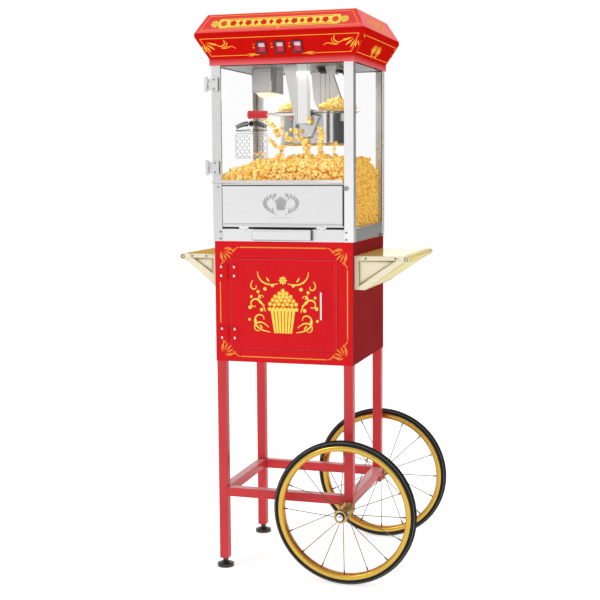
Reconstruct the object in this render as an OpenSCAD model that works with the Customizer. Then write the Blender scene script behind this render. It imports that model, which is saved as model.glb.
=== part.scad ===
// Popcorn maker: a glass-cabinet popper standing on a two-wheeled cart.
// Millimetres, +Z up, the front faces -Y, standing on its feet and wheels at z = 0.

/* [Cart cabinet] */
// Width of the cart cabinet
cart_w = 396; // [380:2:410]
// Depth of the cart cabinet
cart_d = 367; // [355:1:380]
// Height of the cabinet's lower edge above the floor
cart_low_z = 597; // [560:1:620]
// Height of the cabinet's top above the floor
cart_top_z = 933.5; // [925:0.5:945]
// Width of the cabinet door
door_w = 306; // [280:2:310]
// Lower edge of the cabinet door
door_low_z = 634; // [628:1:650]
// Upper edge of the cabinet door
door_top_z = 885; // [860:1:890]
// Thickness of the cabinet's sheet steel
sheet_t = 1.5; // [1:0.1:2]

/* [Legs and wheels] */
// Side of the square leg tube
leg_side = 25.4; // [20:0.2:28]
// Wall of the leg tube
leg_wall = 1.5; // [1:0.1:2.5]
// Underside of the stretchers
stretcher_z = 208; // [208:1:260]
// Radius of a wheel over its tyre
wheel_r = 200; // [195:1:201]
// Width of a tyre
tyre_w = 20; // [16:1:24]
// Middle plane of each wheel, from the cart's centre line
wheel_mid_y = 226.3; // [226:0.1:240]
// Number of spokes in a wheel
spoke_n = 16; // [12:2:20]
// Radius of the axle
axle_r = 6.35; // [5:0.05:7]
// Radius of a levelling foot
foot_r = 24; // [18:1:26]

/* [Side shelves] */
// Reach of the left shelf to the centre of its rolled edge
left_reach = 102; // [80:1:150]
// Reach of the right shelf to the centre of its rolled edge
right_reach = 142.5; // [80:0.5:150]
// Top of both shelves
shelf_top_z = 896; // [890:1:900]
// Front end of both shelves
shelf_front_y = -168; // [-175:1:-150]
// Rear end of both shelves
shelf_back_y = 176; // [150:1:178]

/* [Machine cabinet] */
// Width over the corner posts
post_w = 401.4; // [398:0.2:404]
// Depth over the corner posts
post_d = 368.8; // [366:0.2:372]
// Underside of the canopy
canopy_low_z = 1413; // [1410:1:1420]
// Lower edge of the glass door
glass_low_z = 1094; // [1094:1:1110]
// Upper edge of the serving flap
flap_top_z = 1092; // [1060:1:1092]
// Thickness of the clear panes
pane_t = 3.4; // [3:0.1:4]

/* [Canopy] */
// Top of the canopy
total_h = 1550; // [1540:1:1560]
// Width of the canopy at its ridge
ridge_w = 476.6; // [460:0.2:490]
// Depth of the canopy at its ridge
ridge_d = 425.2; // [410:0.2:440]
// Height of the canopy's ridge line
ridge_z = 1489; // [1485:1:1495]

/* [Kettle] */
// Centre of the kettle, to the right of the cart's centre line
kettle_x = 50; // [48:1:52]
// Height of the kettle's pivot
pivot_z = 1272; // [1270:0.5:1274]
// Outer radius of the kettle's skirt
skirt_r = 107.5; // [100:0.5:108]
// Radius of the kettle's lids
lid_r = 114; // [110:1:115]
// Inner radius of the popping pan
pan_r = 100; // [94:1:102]

/* [Hidden] */
$fn = 48;

// Paint and metal colours
red_enamel = "#D01119";
leg_red = "#C4262C";
side_red = "#8F262A";
cream = "#F6F1D6";
bright_steel = "#D2D2D2";
grey_steel = "#9A9A9A";
gold = "#D9A62E";
brass_tan = "#B9975A";
black = "#242424";
clear = "#D8E6E8";

// The row's origin lies under the middle of the whole cart, wheels and shelves counted.
roll_r = 7.5;
x_low = -cart_w / 2 - left_reach - roll_r;
leg_x = cart_w / 2 - sheet_t - leg_side / 2;
leg_y = cart_d / 2 - sheet_t - leg_side / 2;
x_high = leg_x + wheel_r;
cart_x = -(x_low + x_high) / 2;

// A block between two corners
module block(low, high) {
    translate(low) cube(high - low);
}

// A round bar along X from x0 to x1
module rod_x(x0, x1, y, z, r) {
    translate([x0, y, z]) rotate([0, 90, 0]) cylinder(h = x1 - x0, r = r);
}

// A round bar along Y from y0 to y1
module rod_y(x, y0, y1, z, r) {
    translate([x, y0, z]) rotate([-90, 0, 0]) cylinder(h = y1 - y0, r = r);
}

// A round bar along Z from z0 to z1
module rod_z(x, y, z0, z1, r) {
    translate([x, y, z0]) cylinder(h = z1 - z0, r = r);
}

// A flat outline in X and Z, given thickness from y0 to y1
module slab_xz(y0, y1, outline) {
    translate([0, y1, 0]) rotate([90, 0, 0]) linear_extrude(y1 - y0) polygon(outline);
}

// Everything is drawn about the cart's centre line, then set over the row's origin
module on_cart() {
    translate([cart_x, 0, 0]) children();
}

// ---------------------------------------------------------------- legs and stretchers

foot_z = 25;
leg_top_z = cart_low_z + 110;
right_leg_low_z = wheel_r - leg_side / 2 + 0.7;
plug_h = 22;
stem_r = 5;
running_gap = 0.05;

module leg_tube(x, y, z0) {
    inner = leg_side / 2 - leg_wall;
    difference() {
        block([x - leg_side / 2, y - leg_side / 2, z0], [x + leg_side / 2, y + leg_side / 2, leg_top_z]);
        block([x - inner, y - inner, z0 - 1], [x + inner, y + inner, leg_top_z + 1]);
    }
}

// The threaded plug closes a left leg and takes the stem of its foot
module leg_plug(x, y) {
    inner = leg_side / 2 - leg_wall;
    difference() {
        block([x - inner, y - inner, foot_z], [x + inner, y + inner, foot_z + plug_h]);
        rod_z(x, y, foot_z - 1, foot_z + plug_h + 1, stem_r + running_gap);
    }
}

module left_legs() {
    color(leg_red) on_cart() for (side = [-1, 1]) {
        leg_tube(-leg_x, side * leg_y, foot_z);
        leg_plug(-leg_x, side * leg_y);
    }
}

// The axle runs through the lower ends of both right legs
module right_legs() {
    color(leg_red) on_cart() for (side = [-1, 1]) difference() {
        leg_tube(leg_x, side * leg_y, right_leg_low_z);
        rod_y(leg_x, side * leg_y - leg_side, side * leg_y + leg_side, wheel_r, axle_r + running_gap);
    }
}

module stretchers() {
    low = stretcher_z;
    high = stretcher_z + leg_side;
    half = leg_side / 2;
    color(leg_red) on_cart() {
        for (side = [-1, 1]) {
            block([-leg_x + half, side * leg_y - half, low], [leg_x - half, side * leg_y + half, high]);
            block([side * leg_x - half, -leg_y + half, low], [side * leg_x + half, leg_y - half, high]);
        }
    }
}

// Levelling foot: a glide pad, a cone up to the stem, a lock nut and the stem
module foot(side) {
    pad_h = 8;
    cone_h = 5;
    nut_low_z = foot_z - 7;
    translate([-leg_x, side * leg_y, 0]) {
        cylinder(h = pad_h, r = foot_r);
        translate([0, 0, pad_h]) cylinder(h = cone_h, r1 = foot_r - 3, r2 = stem_r + 2);
        cylinder(h = foot_z + plug_h + 6, r = stem_r);
        translate([0, 0, nut_low_z]) cylinder(h = 6.6, r = 8.6, $fn = 6);
    }
}

module foot_front() {
    color(black) on_cart() foot(-1);
}

module foot_rear() {
    color(black) on_cart() foot(1);
}

// ---------------------------------------------------------------- wheels

hub_half = 42;
hub_r = 12;
flange_r = 19;
flange_y = 34;
flange_t = 3;
rim_out_r = wheel_r - 16;
rim_in_r = wheel_r - 28;
rim_half = tyre_w / 2;
spoke_pitch_r = 15.5;
spoke_r = 1.1;
spoke_lean = 18;
axle_end_y = wheel_mid_y + hub_half + 16;

module axle() {
    color(grey_steel) on_cart() rod_y(leg_x, -axle_end_y, axle_end_y, wheel_r, axle_r);
}

// Puts a wheel piece, turned about Z, on the axle at one end of the cart
module on_axle(side) {
    on_cart() translate([leg_x, side * wheel_mid_y, wheel_r]) rotate([90, 0, 0]) children();
}

module tyre() {
    rotate_extrude($fn = 96) {
        translate([wheel_r - rim_half, 0]) circle(r = rim_half);
        translate([rim_out_r + 0.2, -rim_half]) square([wheel_r - rim_half - rim_out_r - 0.2, tyre_w]);
        translate([rim_in_r + 3, -rim_half + 1.8]) square([12, tyre_w - 3.6]);
    }
}

// Channel rim, open outwards to hold the tyre
module rim() {
    rotate_extrude($fn = 96) {
        translate([rim_in_r, -rim_half]) square([2.8, tyre_w]);
        translate([rim_in_r, -rim_half]) square([rim_out_r - rim_in_r, 1.5]);
        translate([rim_in_r, rim_half - 1.5]) square([rim_out_r - rim_in_r, 1.5]);
    }
}

// Where spoke i passes through its flange, and where it meets the rim
function spoke_side(i) = i % 2 == 0 ? 1 : -1;
function spoke_angle(i) = i * 360 / spoke_n;
function spoke_foot_angle(i) = spoke_angle(i) + spoke_side(i) * spoke_lean;
function on_circle(r, a, z) = [r * cos(a), r * sin(a), z];
function spoke_start(i) = on_circle(spoke_pitch_r, spoke_foot_angle(i), spoke_side(i) * (flange_y - flange_t / 2 - 1.6));
function spoke_end(i) = on_circle(rim_in_r - 0.5, spoke_angle(i), spoke_side(i) * 2.5);

// A round bar from point a towards point b, between two distances along it
module bar_between(a, b, r, from, to) {
    run = b - a;
    flat = norm([run[0], run[1]]);
    translate(a) rotate([0, atan2(flat, run[2]), atan2(run[1], run[0])])
        translate([0, 0, from]) cylinder(h = to - from, r = r, $fn = 16);
}

module spokes() {
    for (i = [0 : spoke_n - 1]) {
        a = spoke_start(i);
        b = spoke_end(i);
        run = norm(b - a);
        hole_low = min(a[2], spoke_side(i) * (flange_y + flange_t / 2 + 1));
        hole_high = max(a[2], spoke_side(i) * (flange_y + flange_t / 2 + 1));
        bar_between(a, b, 1, 0, run);
        bar_between(a, b, 2, run - 11, run);
        translate([a[0], a[1], hole_low]) cylinder(h = hole_high - hole_low, r = spoke_r, $fn = 16);
    }
}

module hub() {
    difference() {
        union() {
            translate([0, 0, -hub_half]) cylinder(h = 2 * hub_half, r = hub_r);
            for (side = [-1, 1]) translate([0, 0, side * flange_y - flange_t / 2])
                cylinder(h = flange_t, r = flange_r);
        }
        translate([0, 0, -hub_half - 1]) cylinder(h = 2 * hub_half + 2, r = axle_r + running_gap);
        for (i = [0 : spoke_n - 1]) translate([spoke_start(i)[0], spoke_start(i)[1], spoke_side(i) * flange_y - 3])
            cylinder(h = 6, r = spoke_r + 0.05, $fn = 16);
    }
}

module tyre_front() {
    color(black) on_axle(-1) tyre();
}

module rim_front() {
    color(gold) on_axle(-1) rim();
}

module spokes_front() {
    color(brass_tan) on_axle(-1) spokes();
}

module hub_front() {
    color(brass_tan) on_axle(-1) hub();
}

module tyre_rear() {
    color(black) on_axle(1) tyre();
}

module rim_rear() {
    color(gold) on_axle(1) rim();
}

module spokes_rear() {
    color(brass_tan) on_axle(1) spokes();
}

module hub_rear() {
    color(brass_tan) on_axle(1) hub();
}

// ---------------------------------------------------------------- cart cabinet

half_w = cart_w / 2;
half_d = cart_d / 2;
wall_top_z = cart_top_z - sheet_t;
door_gap = 1;
door_y = -half_d - 0.5;
door_fold = 14;
door_mid_z = (door_low_z + door_top_z) / 2;

module cabinet_front() {
    color(red_enamel) on_cart() difference() {
        block([-half_w, -half_d, cart_low_z], [half_w, -half_d + sheet_t, wall_top_z]);
        block([-door_w / 2 - door_gap, -half_d - 1, door_low_z - door_gap],
              [door_w / 2 + door_gap, -half_d + sheet_t + 1, door_top_z + door_gap]);
    }
}

module cabinet_walls() {
    inner_d = half_d - sheet_t;
    color(side_red) on_cart() {
        block([-half_w, -inner_d, cart_low_z], [-half_w + sheet_t, inner_d, wall_top_z]);
        block([half_w - sheet_t, -inner_d, cart_low_z], [half_w, inner_d, wall_top_z]);
        block([-half_w, inner_d, cart_low_z], [half_w, half_d, wall_top_z]);
    }
}

// The floor is notched round the four legs
module cabinet_floor() {
    inner_w = half_w - sheet_t;
    inner_d = half_d - sheet_t;
    color(red_enamel) on_cart() difference() {
        block([-inner_w, -inner_d, cart_low_z + 1], [inner_w, inner_d, cart_low_z + 1 + sheet_t]);
        for (sx = [-1, 1]) for (sy = [-1, 1])
            translate([sx * leg_x, sy * leg_y, cart_low_z]) cube([leg_side + 0.2, leg_side + 0.2, 20], center = true);
    }
}

module cabinet_top() {
    color(red_enamel) on_cart() block([-half_w, -half_d, wall_top_z], [half_w, half_d, cart_top_z]);
}

// Folded pan: a face sheet with its four edges turned inwards
module cabinet_door() {
    half = door_w / 2;
    color(red_enamel) on_cart() difference() {
        block([-half, door_y, door_low_z], [half, door_y + door_fold, door_top_z]);
        block([-half + sheet_t, door_y + sheet_t, door_low_z + sheet_t],
              [half - sheet_t, door_y + door_fold + 1, door_top_z - sheet_t]);
    }
}

// Hinges of the cabinet door: knuckles at x = hinge_x, leaves to both sides
hinge_x = -162;
hinge_y = -half_d - 3.5;
hinge_h = 37;
hinge_zs = [676, 849.5];
knuckle_r = 3;
pin_r = 1.5;
leaf_t = 1.5;

module hinge_screws(xs, y0, z) {
    for (x = xs) for (dz = [-12.5, 12.5]) {
        rod_y(x, y0 - 1.6, y0, z + dz, 3.2);
    }
}

module cabinet_hinges() {
    third = hinge_h / 3;
    color(red_enamel) on_cart() for (z = hinge_zs) {
        low = z - hinge_h / 2;
        block([-188, -half_d - leaf_t, low], [hinge_x - 3.4, -half_d, low + hinge_h]);
        for (z0 = [low, low + 2 * third + 0.2])
            block([hinge_x - 3.5, -half_d - leaf_t, z0], [hinge_x, -half_d, z0 + third - 0.2]);
        hinge_screws([-179], -half_d - leaf_t, z);
        rod_z(hinge_x, hinge_y, low, low + third - 0.2, knuckle_r);
        rod_z(hinge_x, hinge_y, low + 2 * third + 0.2, low + hinge_h, knuckle_r);
        rod_z(hinge_x, hinge_y, low, low + hinge_h, pin_r);
    }
}

module cabinet_door_leaves() {
    third = hinge_h / 3;
    color(red_enamel) on_cart() for (z = hinge_zs) {
        low = z - hinge_h / 2;
        difference() {
            union() {
                block([-158.5, door_y - leaf_t, low], [-132, door_y, low + hinge_h]);
                block([hinge_x, door_y - leaf_t, low + third + 0.2], [-158, door_y, low + 2 * third - 0.2]);
                rod_z(hinge_x, hinge_y, low + third + 0.2, low + 2 * third - 0.2, knuckle_r);
            }
            rod_z(hinge_x, hinge_y, low, low + hinge_h, pin_r + running_gap);
        }
        hinge_screws([-141], door_y - leaf_t, z);
    }
}

// Bent-wire pull, standing off the door on two legs
pull_x = 115;
pull_zs = [727, 797];
pull_reach = 24;
pull_r = 2.5;

module door_pull() {
    color(bright_steel) on_cart() {
        for (z = pull_zs) rod_y(pull_x, door_y - pull_reach, door_y, z, pull_r);
        rod_z(pull_x, door_y - pull_reach, pull_zs[0] - pull_r, pull_zs[1] + pull_r, pull_r + 0.3);
    }
}

// ---------------------------------------------------------------- side shelves

shelf_under_z = 804.5;
shelf_slope = 0.68;
shelf_foot = 34;
end_t = 6;
end_band = 12;
end_recess = 4;

// Outline of a shelf to the right of a wall at x = 0: flat top, sloping underside
function shelf_outline(reach, inset) = [
    [inset, shelf_top_z - inset],
    [reach, shelf_top_z - inset],
    [reach, shelf_top_z - 2 * roll_r + inset * 2],
    [shelf_under_x(reach) - inset * 0.4, shelf_under_z + inset * 1.2],
    [inset, shelf_under_z + inset]
];
function shelf_under_x(reach) = max(4, reach - (shelf_top_z - 2 * roll_r - shelf_under_z) / shelf_slope);

module shelf_sheet(reach) {
    roll_z = shelf_top_z - roll_r;
    slab_xz(shelf_front_y + end_t, shelf_back_y - end_t, shelf_outline(reach, 0));
    rod_y(reach, shelf_front_y, shelf_back_y, roll_z, roll_r);
}

// Hollow sheet-metal shelf with a rolled outer edge
module shelf(reach) {
    roll_z = shelf_top_z - roll_r;
    difference() {
        shelf_sheet(reach);
        slab_xz(shelf_front_y - 1, shelf_back_y + 1, shelf_outline(reach - roll_r - 1, sheet_t));
        rod_y(reach, shelf_front_y - 1, shelf_back_y + 1, roll_z, roll_r - sheet_t);
    }
}

module shelf_left() {
    color(cream) on_cart() translate([-half_w, 0, 0]) mirror([1, 0, 0]) shelf(left_reach);
}

module shelf_right() {
    color(cream) on_cart() translate([half_w, 0, 0]) shelf(right_reach);
}

// Pressed end plate: a flat band round a sunk three-cornered panel
module shelf_end(reach, y0, outward) {
    tip = reach - roll_r - 1;
    low_x = shelf_under_x(reach);
    recess_y = outward < 0 ? y0 - 1 : y0 + end_t - end_recess;
    outline = [[0, shelf_top_z], [tip - 14, shelf_top_z], [tip, shelf_top_z - 16], [low_x, shelf_under_z], [0, shelf_under_z]];
    panel = [
        [end_band, shelf_top_z - end_band],
        [tip - 20, shelf_top_z - end_band],
        [end_band, shelf_top_z - end_band - (tip - 20 - end_band) * shelf_slope]
    ];
    difference() {
        slab_xz(y0, y0 + end_t, outline);
        slab_xz(recess_y, recess_y + end_recess + 1, panel);
    }
}

module shelf_ends() {
    front_y = shelf_front_y - 0.2;
    back_y = shelf_back_y - end_t + 0.2;
    color(cream) on_cart() {
        translate([half_w, 0, 0]) {
            shelf_end(right_reach, front_y, -1);
            shelf_end(right_reach, back_y, 1);
        }
        translate([-half_w, 0, 0]) mirror([1, 0, 0]) {
            shelf_end(left_reach, front_y, -1);
            shelf_end(left_reach, back_y, 1);
        }
    }
}

// ---------------------------------------------------------------- machine base and bin

half_pw = post_w / 2;
half_pd = post_d / 2;
post_leg_x = 26.2;
post_leg_y = 27;
post_lip = 6;
post_top_z = canopy_low_z + 12;
base_z = cart_top_z;
front_rail_top_z = 966;
side_rail_top_z = 972.7;
deck_z = 966;
drawer_half = 78;
drawer_face_half = 84;
drawer_z0 = 940;
drawer_z1 = 962;
drawer_back_y = 40;
drawer_face_y = -196.5;
deck_half_w = half_pw - 2 * sheet_t - 0.1;
grate_half = 75;
grate_y0 = -110;
grate_y1 = 34;

// Base frame: rails on four sides, a bottom plate, and two runners under the drawer
module base_rails() {
    in_w = half_pw - sheet_t;
    in_d = half_pd - sheet_t;
    bay = drawer_half + 2.5;
    color(bright_steel) on_cart() {
        block([-in_w, -in_d, base_z], [-bay, -in_d + sheet_t, front_rail_top_z]);
        block([bay, -in_d, base_z], [in_w, -in_d + sheet_t, front_rail_top_z]);
        block([-bay, -in_d, base_z], [bay, -in_d + sheet_t, drawer_z0 - 1.5]);
        for (side = [-1, 1]) {
            edge = side * (in_w - sheet_t / 2);
            block([edge - sheet_t / 2, -in_d + sheet_t, base_z], [edge + sheet_t / 2, in_d, side_rail_top_z]);
            block([side * 79 - 3, -in_d + sheet_t, base_z + sheet_t], [side * 79 + 3, drawer_back_y + 20, drawer_z0 - 0.3]);
        }
        block([-in_w + sheet_t, in_d - sheet_t, base_z], [in_w - sheet_t, in_d, side_rail_top_z]);
        block([-in_w + sheet_t, -in_d + sheet_t, base_z], [in_w - sheet_t, in_d - sheet_t, base_z + sheet_t]);
    }
}

// Floor of the popcorn bin, in four plates round the sifter's window
module popcorn_deck() {
    in_d = half_pd - 2 * sheet_t - 0.1;
    front_y = -half_pd + sheet_t + 0.1;
    top = deck_z + sheet_t;
    color(bright_steel) on_cart() {
        block([-deck_half_w, front_y, deck_z], [-grate_half, in_d, top]);
        block([grate_half, front_y, deck_z], [deck_half_w, in_d, top]);
        block([-grate_half, front_y, deck_z], [grate_half, grate_y0, top]);
        block([-grate_half, grate_y1, deck_z], [grate_half, in_d, top]);
    }
}

// Sifter: bars across the window, so that unpopped kernels drop into the drawer
module sifter_grate() {
    pitch = 12;
    bar = 5;
    bars = floor((grate_y1 - grate_y0) / pitch);
    color(bright_steel) on_cart() for (i = [0 : bars - 1]) {
        y = grate_y0 + (pitch - bar) / 2 + i * pitch;
        block([-grate_half, y, deck_z - 1.5], [grate_half, y + bar, deck_z + sheet_t]);
    }
}

// Drawer for unpopped kernels: an open tray behind a folded front
module kernel_drawer() {
    front_back_y = -half_pd - 0.5;
    t = 1.2;
    color(bright_steel) on_cart() {
        difference() {
            block([-drawer_face_half, drawer_face_y, 938], [drawer_face_half, front_back_y, 966.5]);
            block([-drawer_face_half + t, drawer_face_y + t, 938 + t], [drawer_face_half - t, front_back_y + 1, 966.5 - t]);
        }
        difference() {
            block([-drawer_half, drawer_face_y + t, drawer_z0], [drawer_half, drawer_back_y, drawer_z1]);
            block([-drawer_half + t, drawer_face_y + 2 * t, drawer_z0 + t],
                  [drawer_half - t, drawer_back_y - t, drawer_z1 + 5]);
        }
    }
}

// ---------------------------------------------------------------- posts, panes, doors

// Folded corner post: front leg with a short lip, and a side leg
module post(sx, sy) {
    t = sheet_t;
    low = base_z;
    mirror([sx < 0 ? 1 : 0, 0, 0]) mirror([0, sy > 0 ? 0 : 1, 0]) {
        block([half_pw - post_leg_x, half_pd - t, low], [half_pw, half_pd, post_top_z]);
        block([half_pw - t, half_pd - post_leg_y, low], [half_pw, half_pd - t, post_top_z]);
        if (sy < 0) block([half_pw - post_leg_x, half_pd - t - post_lip, side_rail_top_z],
                          [half_pw - post_leg_x + t, half_pd - t, post_top_z]);
    }
}

module corner_posts() {
    color(bright_steel) on_cart() for (sx = [-1, 1]) for (sy = [-1, 1]) post(sx, sy);
}

module fixed_panes() {
    out_x = half_pw - 2 * sheet_t - 0.3;
    out_y = half_pd - 2 * sheet_t - 0.3;
    low = deck_z + sheet_t;
    high = canopy_low_z - 1;
    color(clear, 0.3) on_cart() {
        for (side = [-1, 1]) {
            mid = side * (out_x - pane_t / 2);
            block([mid - pane_t / 2, -out_y, low], [mid + pane_t / 2, out_y, high]);
        }
        block([-out_x + pane_t, out_y - pane_t, low], [out_x - pane_t, out_y, high]);
    }
}

// Glass door, hung outside the left post
glass_hinge_x = -205.9;
glass_hinge_y = -half_pd - 3.6;
glass_left_x = -201;
glass_right_x = 172;
glass_y = -half_pd - 5.4;
glass_top_z = canopy_low_z - 5;
glass_hinge_zs = [1136, 1363];
glass_leaf_h = 37;
bar_h = 43;

module glass_door() {
    color(clear, 0.3) on_cart()
        block([glass_left_x, glass_y, glass_low_z + 2], [glass_right_x, glass_y + pane_t, glass_top_z]);
}

// Fixed hinge brackets: a foot on the post's side, a round-ended bar, two ears and the pin
module glass_door_hinges() {
    plate_y = -half_pd + 0.3;
    bar_x = glass_hinge_x - 9;
    bar_half = 4.6;
    color(grey_steel) on_cart() for (z = glass_hinge_zs) {
        block([-half_pw - 1.5, plate_y, z - 15], [-half_pw, plate_y + 26, z + 15]);
        block([bar_x - bar_half, plate_y, z - 15], [-half_pw - 1.5, plate_y + 1.5, z + 15]);
        block([bar_x - bar_half, glass_hinge_y - 2, z - bar_h / 2 + bar_half],
              [bar_x + bar_half, plate_y, z + bar_h / 2 - bar_half]);
        for (side = [-1, 1])
            rod_y(bar_x, glass_hinge_y - 2, plate_y, z + side * (bar_h / 2 - bar_half), bar_half);
        for (ear_z = [z - 16, z + 4.2])
            block([bar_x + bar_half, glass_hinge_y - 2, ear_z], [glass_hinge_x + 2.5, plate_y, ear_z + 1.8]);
        rod_z(glass_hinge_x, glass_hinge_y, z - 16, z + 6, 1.2);
    }
}

// Moving hinge leaves, clamped over the pane's edge, and the channel along its lower edge
module glass_door_leaves() {
    front = glass_y - 1.5;
    back = glass_y + pane_t;
    color(bright_steel) on_cart() {
        for (z = glass_hinge_zs) {
            low = z - glass_leaf_h / 2;
            block([glass_left_x, front, low], [-180, glass_y, low + glass_leaf_h]);
            block([glass_left_x, back, low], [-180, back + 1, low + glass_leaf_h]);
            for (dz = [-12.5, 12.5]) rod_y(-191, front - 1.4, front, z + dz, 3);
            difference() {
                union() {
                    rod_z(glass_hinge_x, glass_hinge_y, z - 14, z + 4, 3);
                    block([glass_hinge_x, front, z - 14], [glass_left_x, glass_y, z + 4]);
                }
                rod_z(glass_hinge_x, glass_hinge_y, z - 15, z + 5, 1.2 + running_gap);
            }
        }
        block([glass_left_x, front, glass_low_z], [glass_right_x, back + 1, glass_low_z + 2]);
        block([glass_left_x, front, glass_low_z + 2], [glass_right_x, glass_y, glass_low_z + 7]);
        block([glass_left_x, back, glass_low_z + 2], [glass_right_x, back + 1, glass_low_z + 7]);
    }
}

// Serving flap between the front posts, hinged along its lower edge
flap_half = 173;
flap_y = -half_pd;
flap_t = 1.2;
flap_pin_z = 970.6;
flap_pin_y = -half_pd + 0.6;
flap_barrel_r = 2.4;
flap_pin_r = 1.1;
flap_hinge_xs = [-111, 111];
flap_tab = 10;

module serving_flap() {
    color(bright_steel) on_cart() {
        block([-flap_half, flap_y, 973.4], [flap_half, flap_y + flap_t, flap_top_z]);
        block([-flap_half, flap_y + flap_t, flap_top_z - flap_t], [flap_half, flap_y + 8, flap_top_z]);
        for (x = flap_hinge_xs) for (side = [-1, 1]) {
            from = x + side * (flap_tab / 2 + 4.3) - 4;
            difference() {
                union() {
                    rod_x(from, from + 8, flap_pin_y, flap_pin_z, flap_barrel_r);
                    block([from, flap_y, flap_pin_z], [from + 8, flap_y + flap_t, 974]);
                }
                rod_x(from - 1, from + 9, flap_pin_y, flap_pin_z, flap_pin_r + running_gap);
            }
        }
    }
}

// Fixed hinge tabs on the front rail, with their pins
module flap_hinges() {
    color(bright_steel) on_cart() for (x = flap_hinge_xs) {
        rod_x(x - flap_tab / 2, x + flap_tab / 2, flap_pin_y, flap_pin_z, flap_barrel_r);
        rod_x(x - 14, x + 14, flap_pin_y, flap_pin_z, flap_pin_r);
        block([x - flap_tab / 2, flap_y, 967.6], [x + flap_tab / 2, flap_y + 1.4, flap_pin_z]);
        block([x - flap_tab / 2, flap_y + 0.4, 958], [x + flap_tab / 2, flap_y + 1.5, 967.6]);
    }
}

// ---------------------------------------------------------------- canopy

band_w = 409.4;
band_d = 376.2;
band_h = 18;
ridge_h = 10;
roof_w = 417.2;
roof_d = 363.8;
canopy_t = 2;

// A sloping storey between two centred rectangles, each given as [width, depth, height]
module storey(low, high) {
    thin = 0.01;
    hull() {
        translate([-low[0] / 2, -low[1] / 2, low[2]]) cube([low[0], low[1], thin]);
        translate([-high[0] / 2, -high[1] / 2, high[2] - thin]) cube([high[0], high[1], thin]);
    }
}

// The canopy's outer form; cut is how far each face is moved inwards
module canopy_form(cut) {
    c = 2 * cut;
    band_top = canopy_low_z + band_h;
    translate([-band_w / 2 + cut, -band_d / 2 + cut, canopy_low_z - cut])
        cube([band_w - c, band_d - c, band_h + c]);
    storey([band_w - c, band_d - c, band_top], [ridge_w - c, ridge_d - c, ridge_z]);
    translate([-ridge_w / 2 + cut, -ridge_d / 2 + cut, ridge_z - cut])
        cube([ridge_w - c, ridge_d - c, ridge_h + cut]);
    storey([ridge_w - c, ridge_d - c, ridge_z + ridge_h - cut], [roof_w - c, roof_d - c, total_h - cut]);
}

// Rocker switches sit on the front skirt, which leans out towards its top
skirt_rise = ridge_z - canopy_low_z - band_h;
skirt_run = (ridge_d - band_d) / 2;
skirt_lean = atan2(skirt_run, skirt_rise);
switch_xs = [-49.5, 1.7, 51];
switch_z = 1456;
switch_w = 27;
switch_h = 34;
bezel_t = 3;
rocker_w = 19;
rocker_h = 25;
rocker_tilt = 8;

// Local frame of a switch: X across, Y up the skirt, Z outwards from its face
module on_skirt(x) {
    drop = switch_z - canopy_low_z - band_h;
    translate([x, -band_d / 2 - drop * tan(skirt_lean), switch_z]) rotate([90 + skirt_lean, 0, 0]) children();
}

module canopy() {
    color(red_enamel) on_cart() difference() {
        canopy_form(0);
        canopy_form(canopy_t);
        for (x = switch_xs) on_skirt(x) cube([switch_w - 4, switch_h - 4, 30], center = true);
    }
}

module ceiling_plate() {
    color(bright_steel) on_cart() difference() {
        block([-196, -176, canopy_low_z + 0.2], [196, 176, canopy_low_z + 0.2 + sheet_t]);
        rod_z(kettle_x, drive_y, canopy_low_z - 1, canopy_low_z + 5, drive_r + 0.3);
    }
}

module switch_bezels() {
    color(black) on_cart() for (x = switch_xs) on_skirt(x) difference() {
        union() {
            translate([-switch_w / 2, -switch_h / 2, 0.05]) cube([switch_w, switch_h, bezel_t]);
            translate([-switch_w / 2 + 2.2, -switch_h / 2 + 2.2, -18]) cube([switch_w - 4.4, switch_h - 4.4, 18.1]);
        }
        translate([-rocker_w / 2 - 0.4, -rocker_h / 2 - 0.6, -8]) cube([rocker_w + 0.8, rocker_h + 1.2, 22]);
        rotate([0, 90, 0]) translate([2, 0, -rocker_w / 2 - 1.5]) cylinder(h = rocker_w + 3, r = pin_r + running_gap);
    }
}

// Rocker: a shallow V seen from the side, on pivot stubs; stored with its upper half pressed in
module rocker(x) {
    half = rocker_h / 2;
    outline = [[-half, -3], [half, -3], [half, 3.4], [0, 1.2], [-half, 3.4]];
    on_skirt(x) translate([0, 0, -2]) rotate([-rocker_tilt, 0, 0]) {
        translate([-rocker_w / 2, 0, 0]) rotate([90, 0, 90]) linear_extrude(rocker_w) polygon(outline);
        rotate([0, 90, 0]) translate([0, 0, -rocker_w / 2 - 1.3]) cylinder(h = rocker_w + 2.6, r = pin_r);
    }
}

module rocker_heat() {
    color(red_enamel) on_cart() rocker(switch_xs[0]);
}

module rocker_stir() {
    color(red_enamel) on_cart() rocker(switch_xs[1]);
}

module rocker_lamp() {
    color(red_enamel) on_cart() rocker(switch_xs[2]);
}

// ---------------------------------------------------------------- hanger arms and drive

arm_y = 140;
arm_t = 2;
arm_foot_r = 21;
trunnion_r = 8;
drive_y = -149.4;
drive_r = 2.5;
cross_r = 3;
gear_near = 5;
gear_far = 7;
gear_gap = 0.3;

// Sheet-steel arms hang from the ceiling and carry the kettle's pivots
module hanger_arms() {
    top = canopy_low_z;
    front_outline = [[-7, top], [66, top], [66, pivot_z], [28, pivot_z], [19, pivot_z + 13]];
    rear_outline = [[-10, top], [56, top], [84, 1330], [84, 1300], [70, pivot_z - 8], [30, pivot_z - 8], [-3, 1332]];
    color(bright_steel) on_cart() difference() {
        union() {
            slab_xz(-arm_y - arm_t, -arm_y, front_outline);
            rod_y(44, -arm_y - arm_t, -arm_y, pivot_z, arm_foot_r);
            slab_xz(arm_y, arm_y + arm_t, rear_outline);
            rod_y(kettle_x, arm_y, arm_y + arm_t, pivot_z, arm_foot_r);
        }
        rod_y(kettle_x, -arm_y - 10, arm_y + 10, pivot_z, trunnion_r + running_gap);
    }
}

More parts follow.
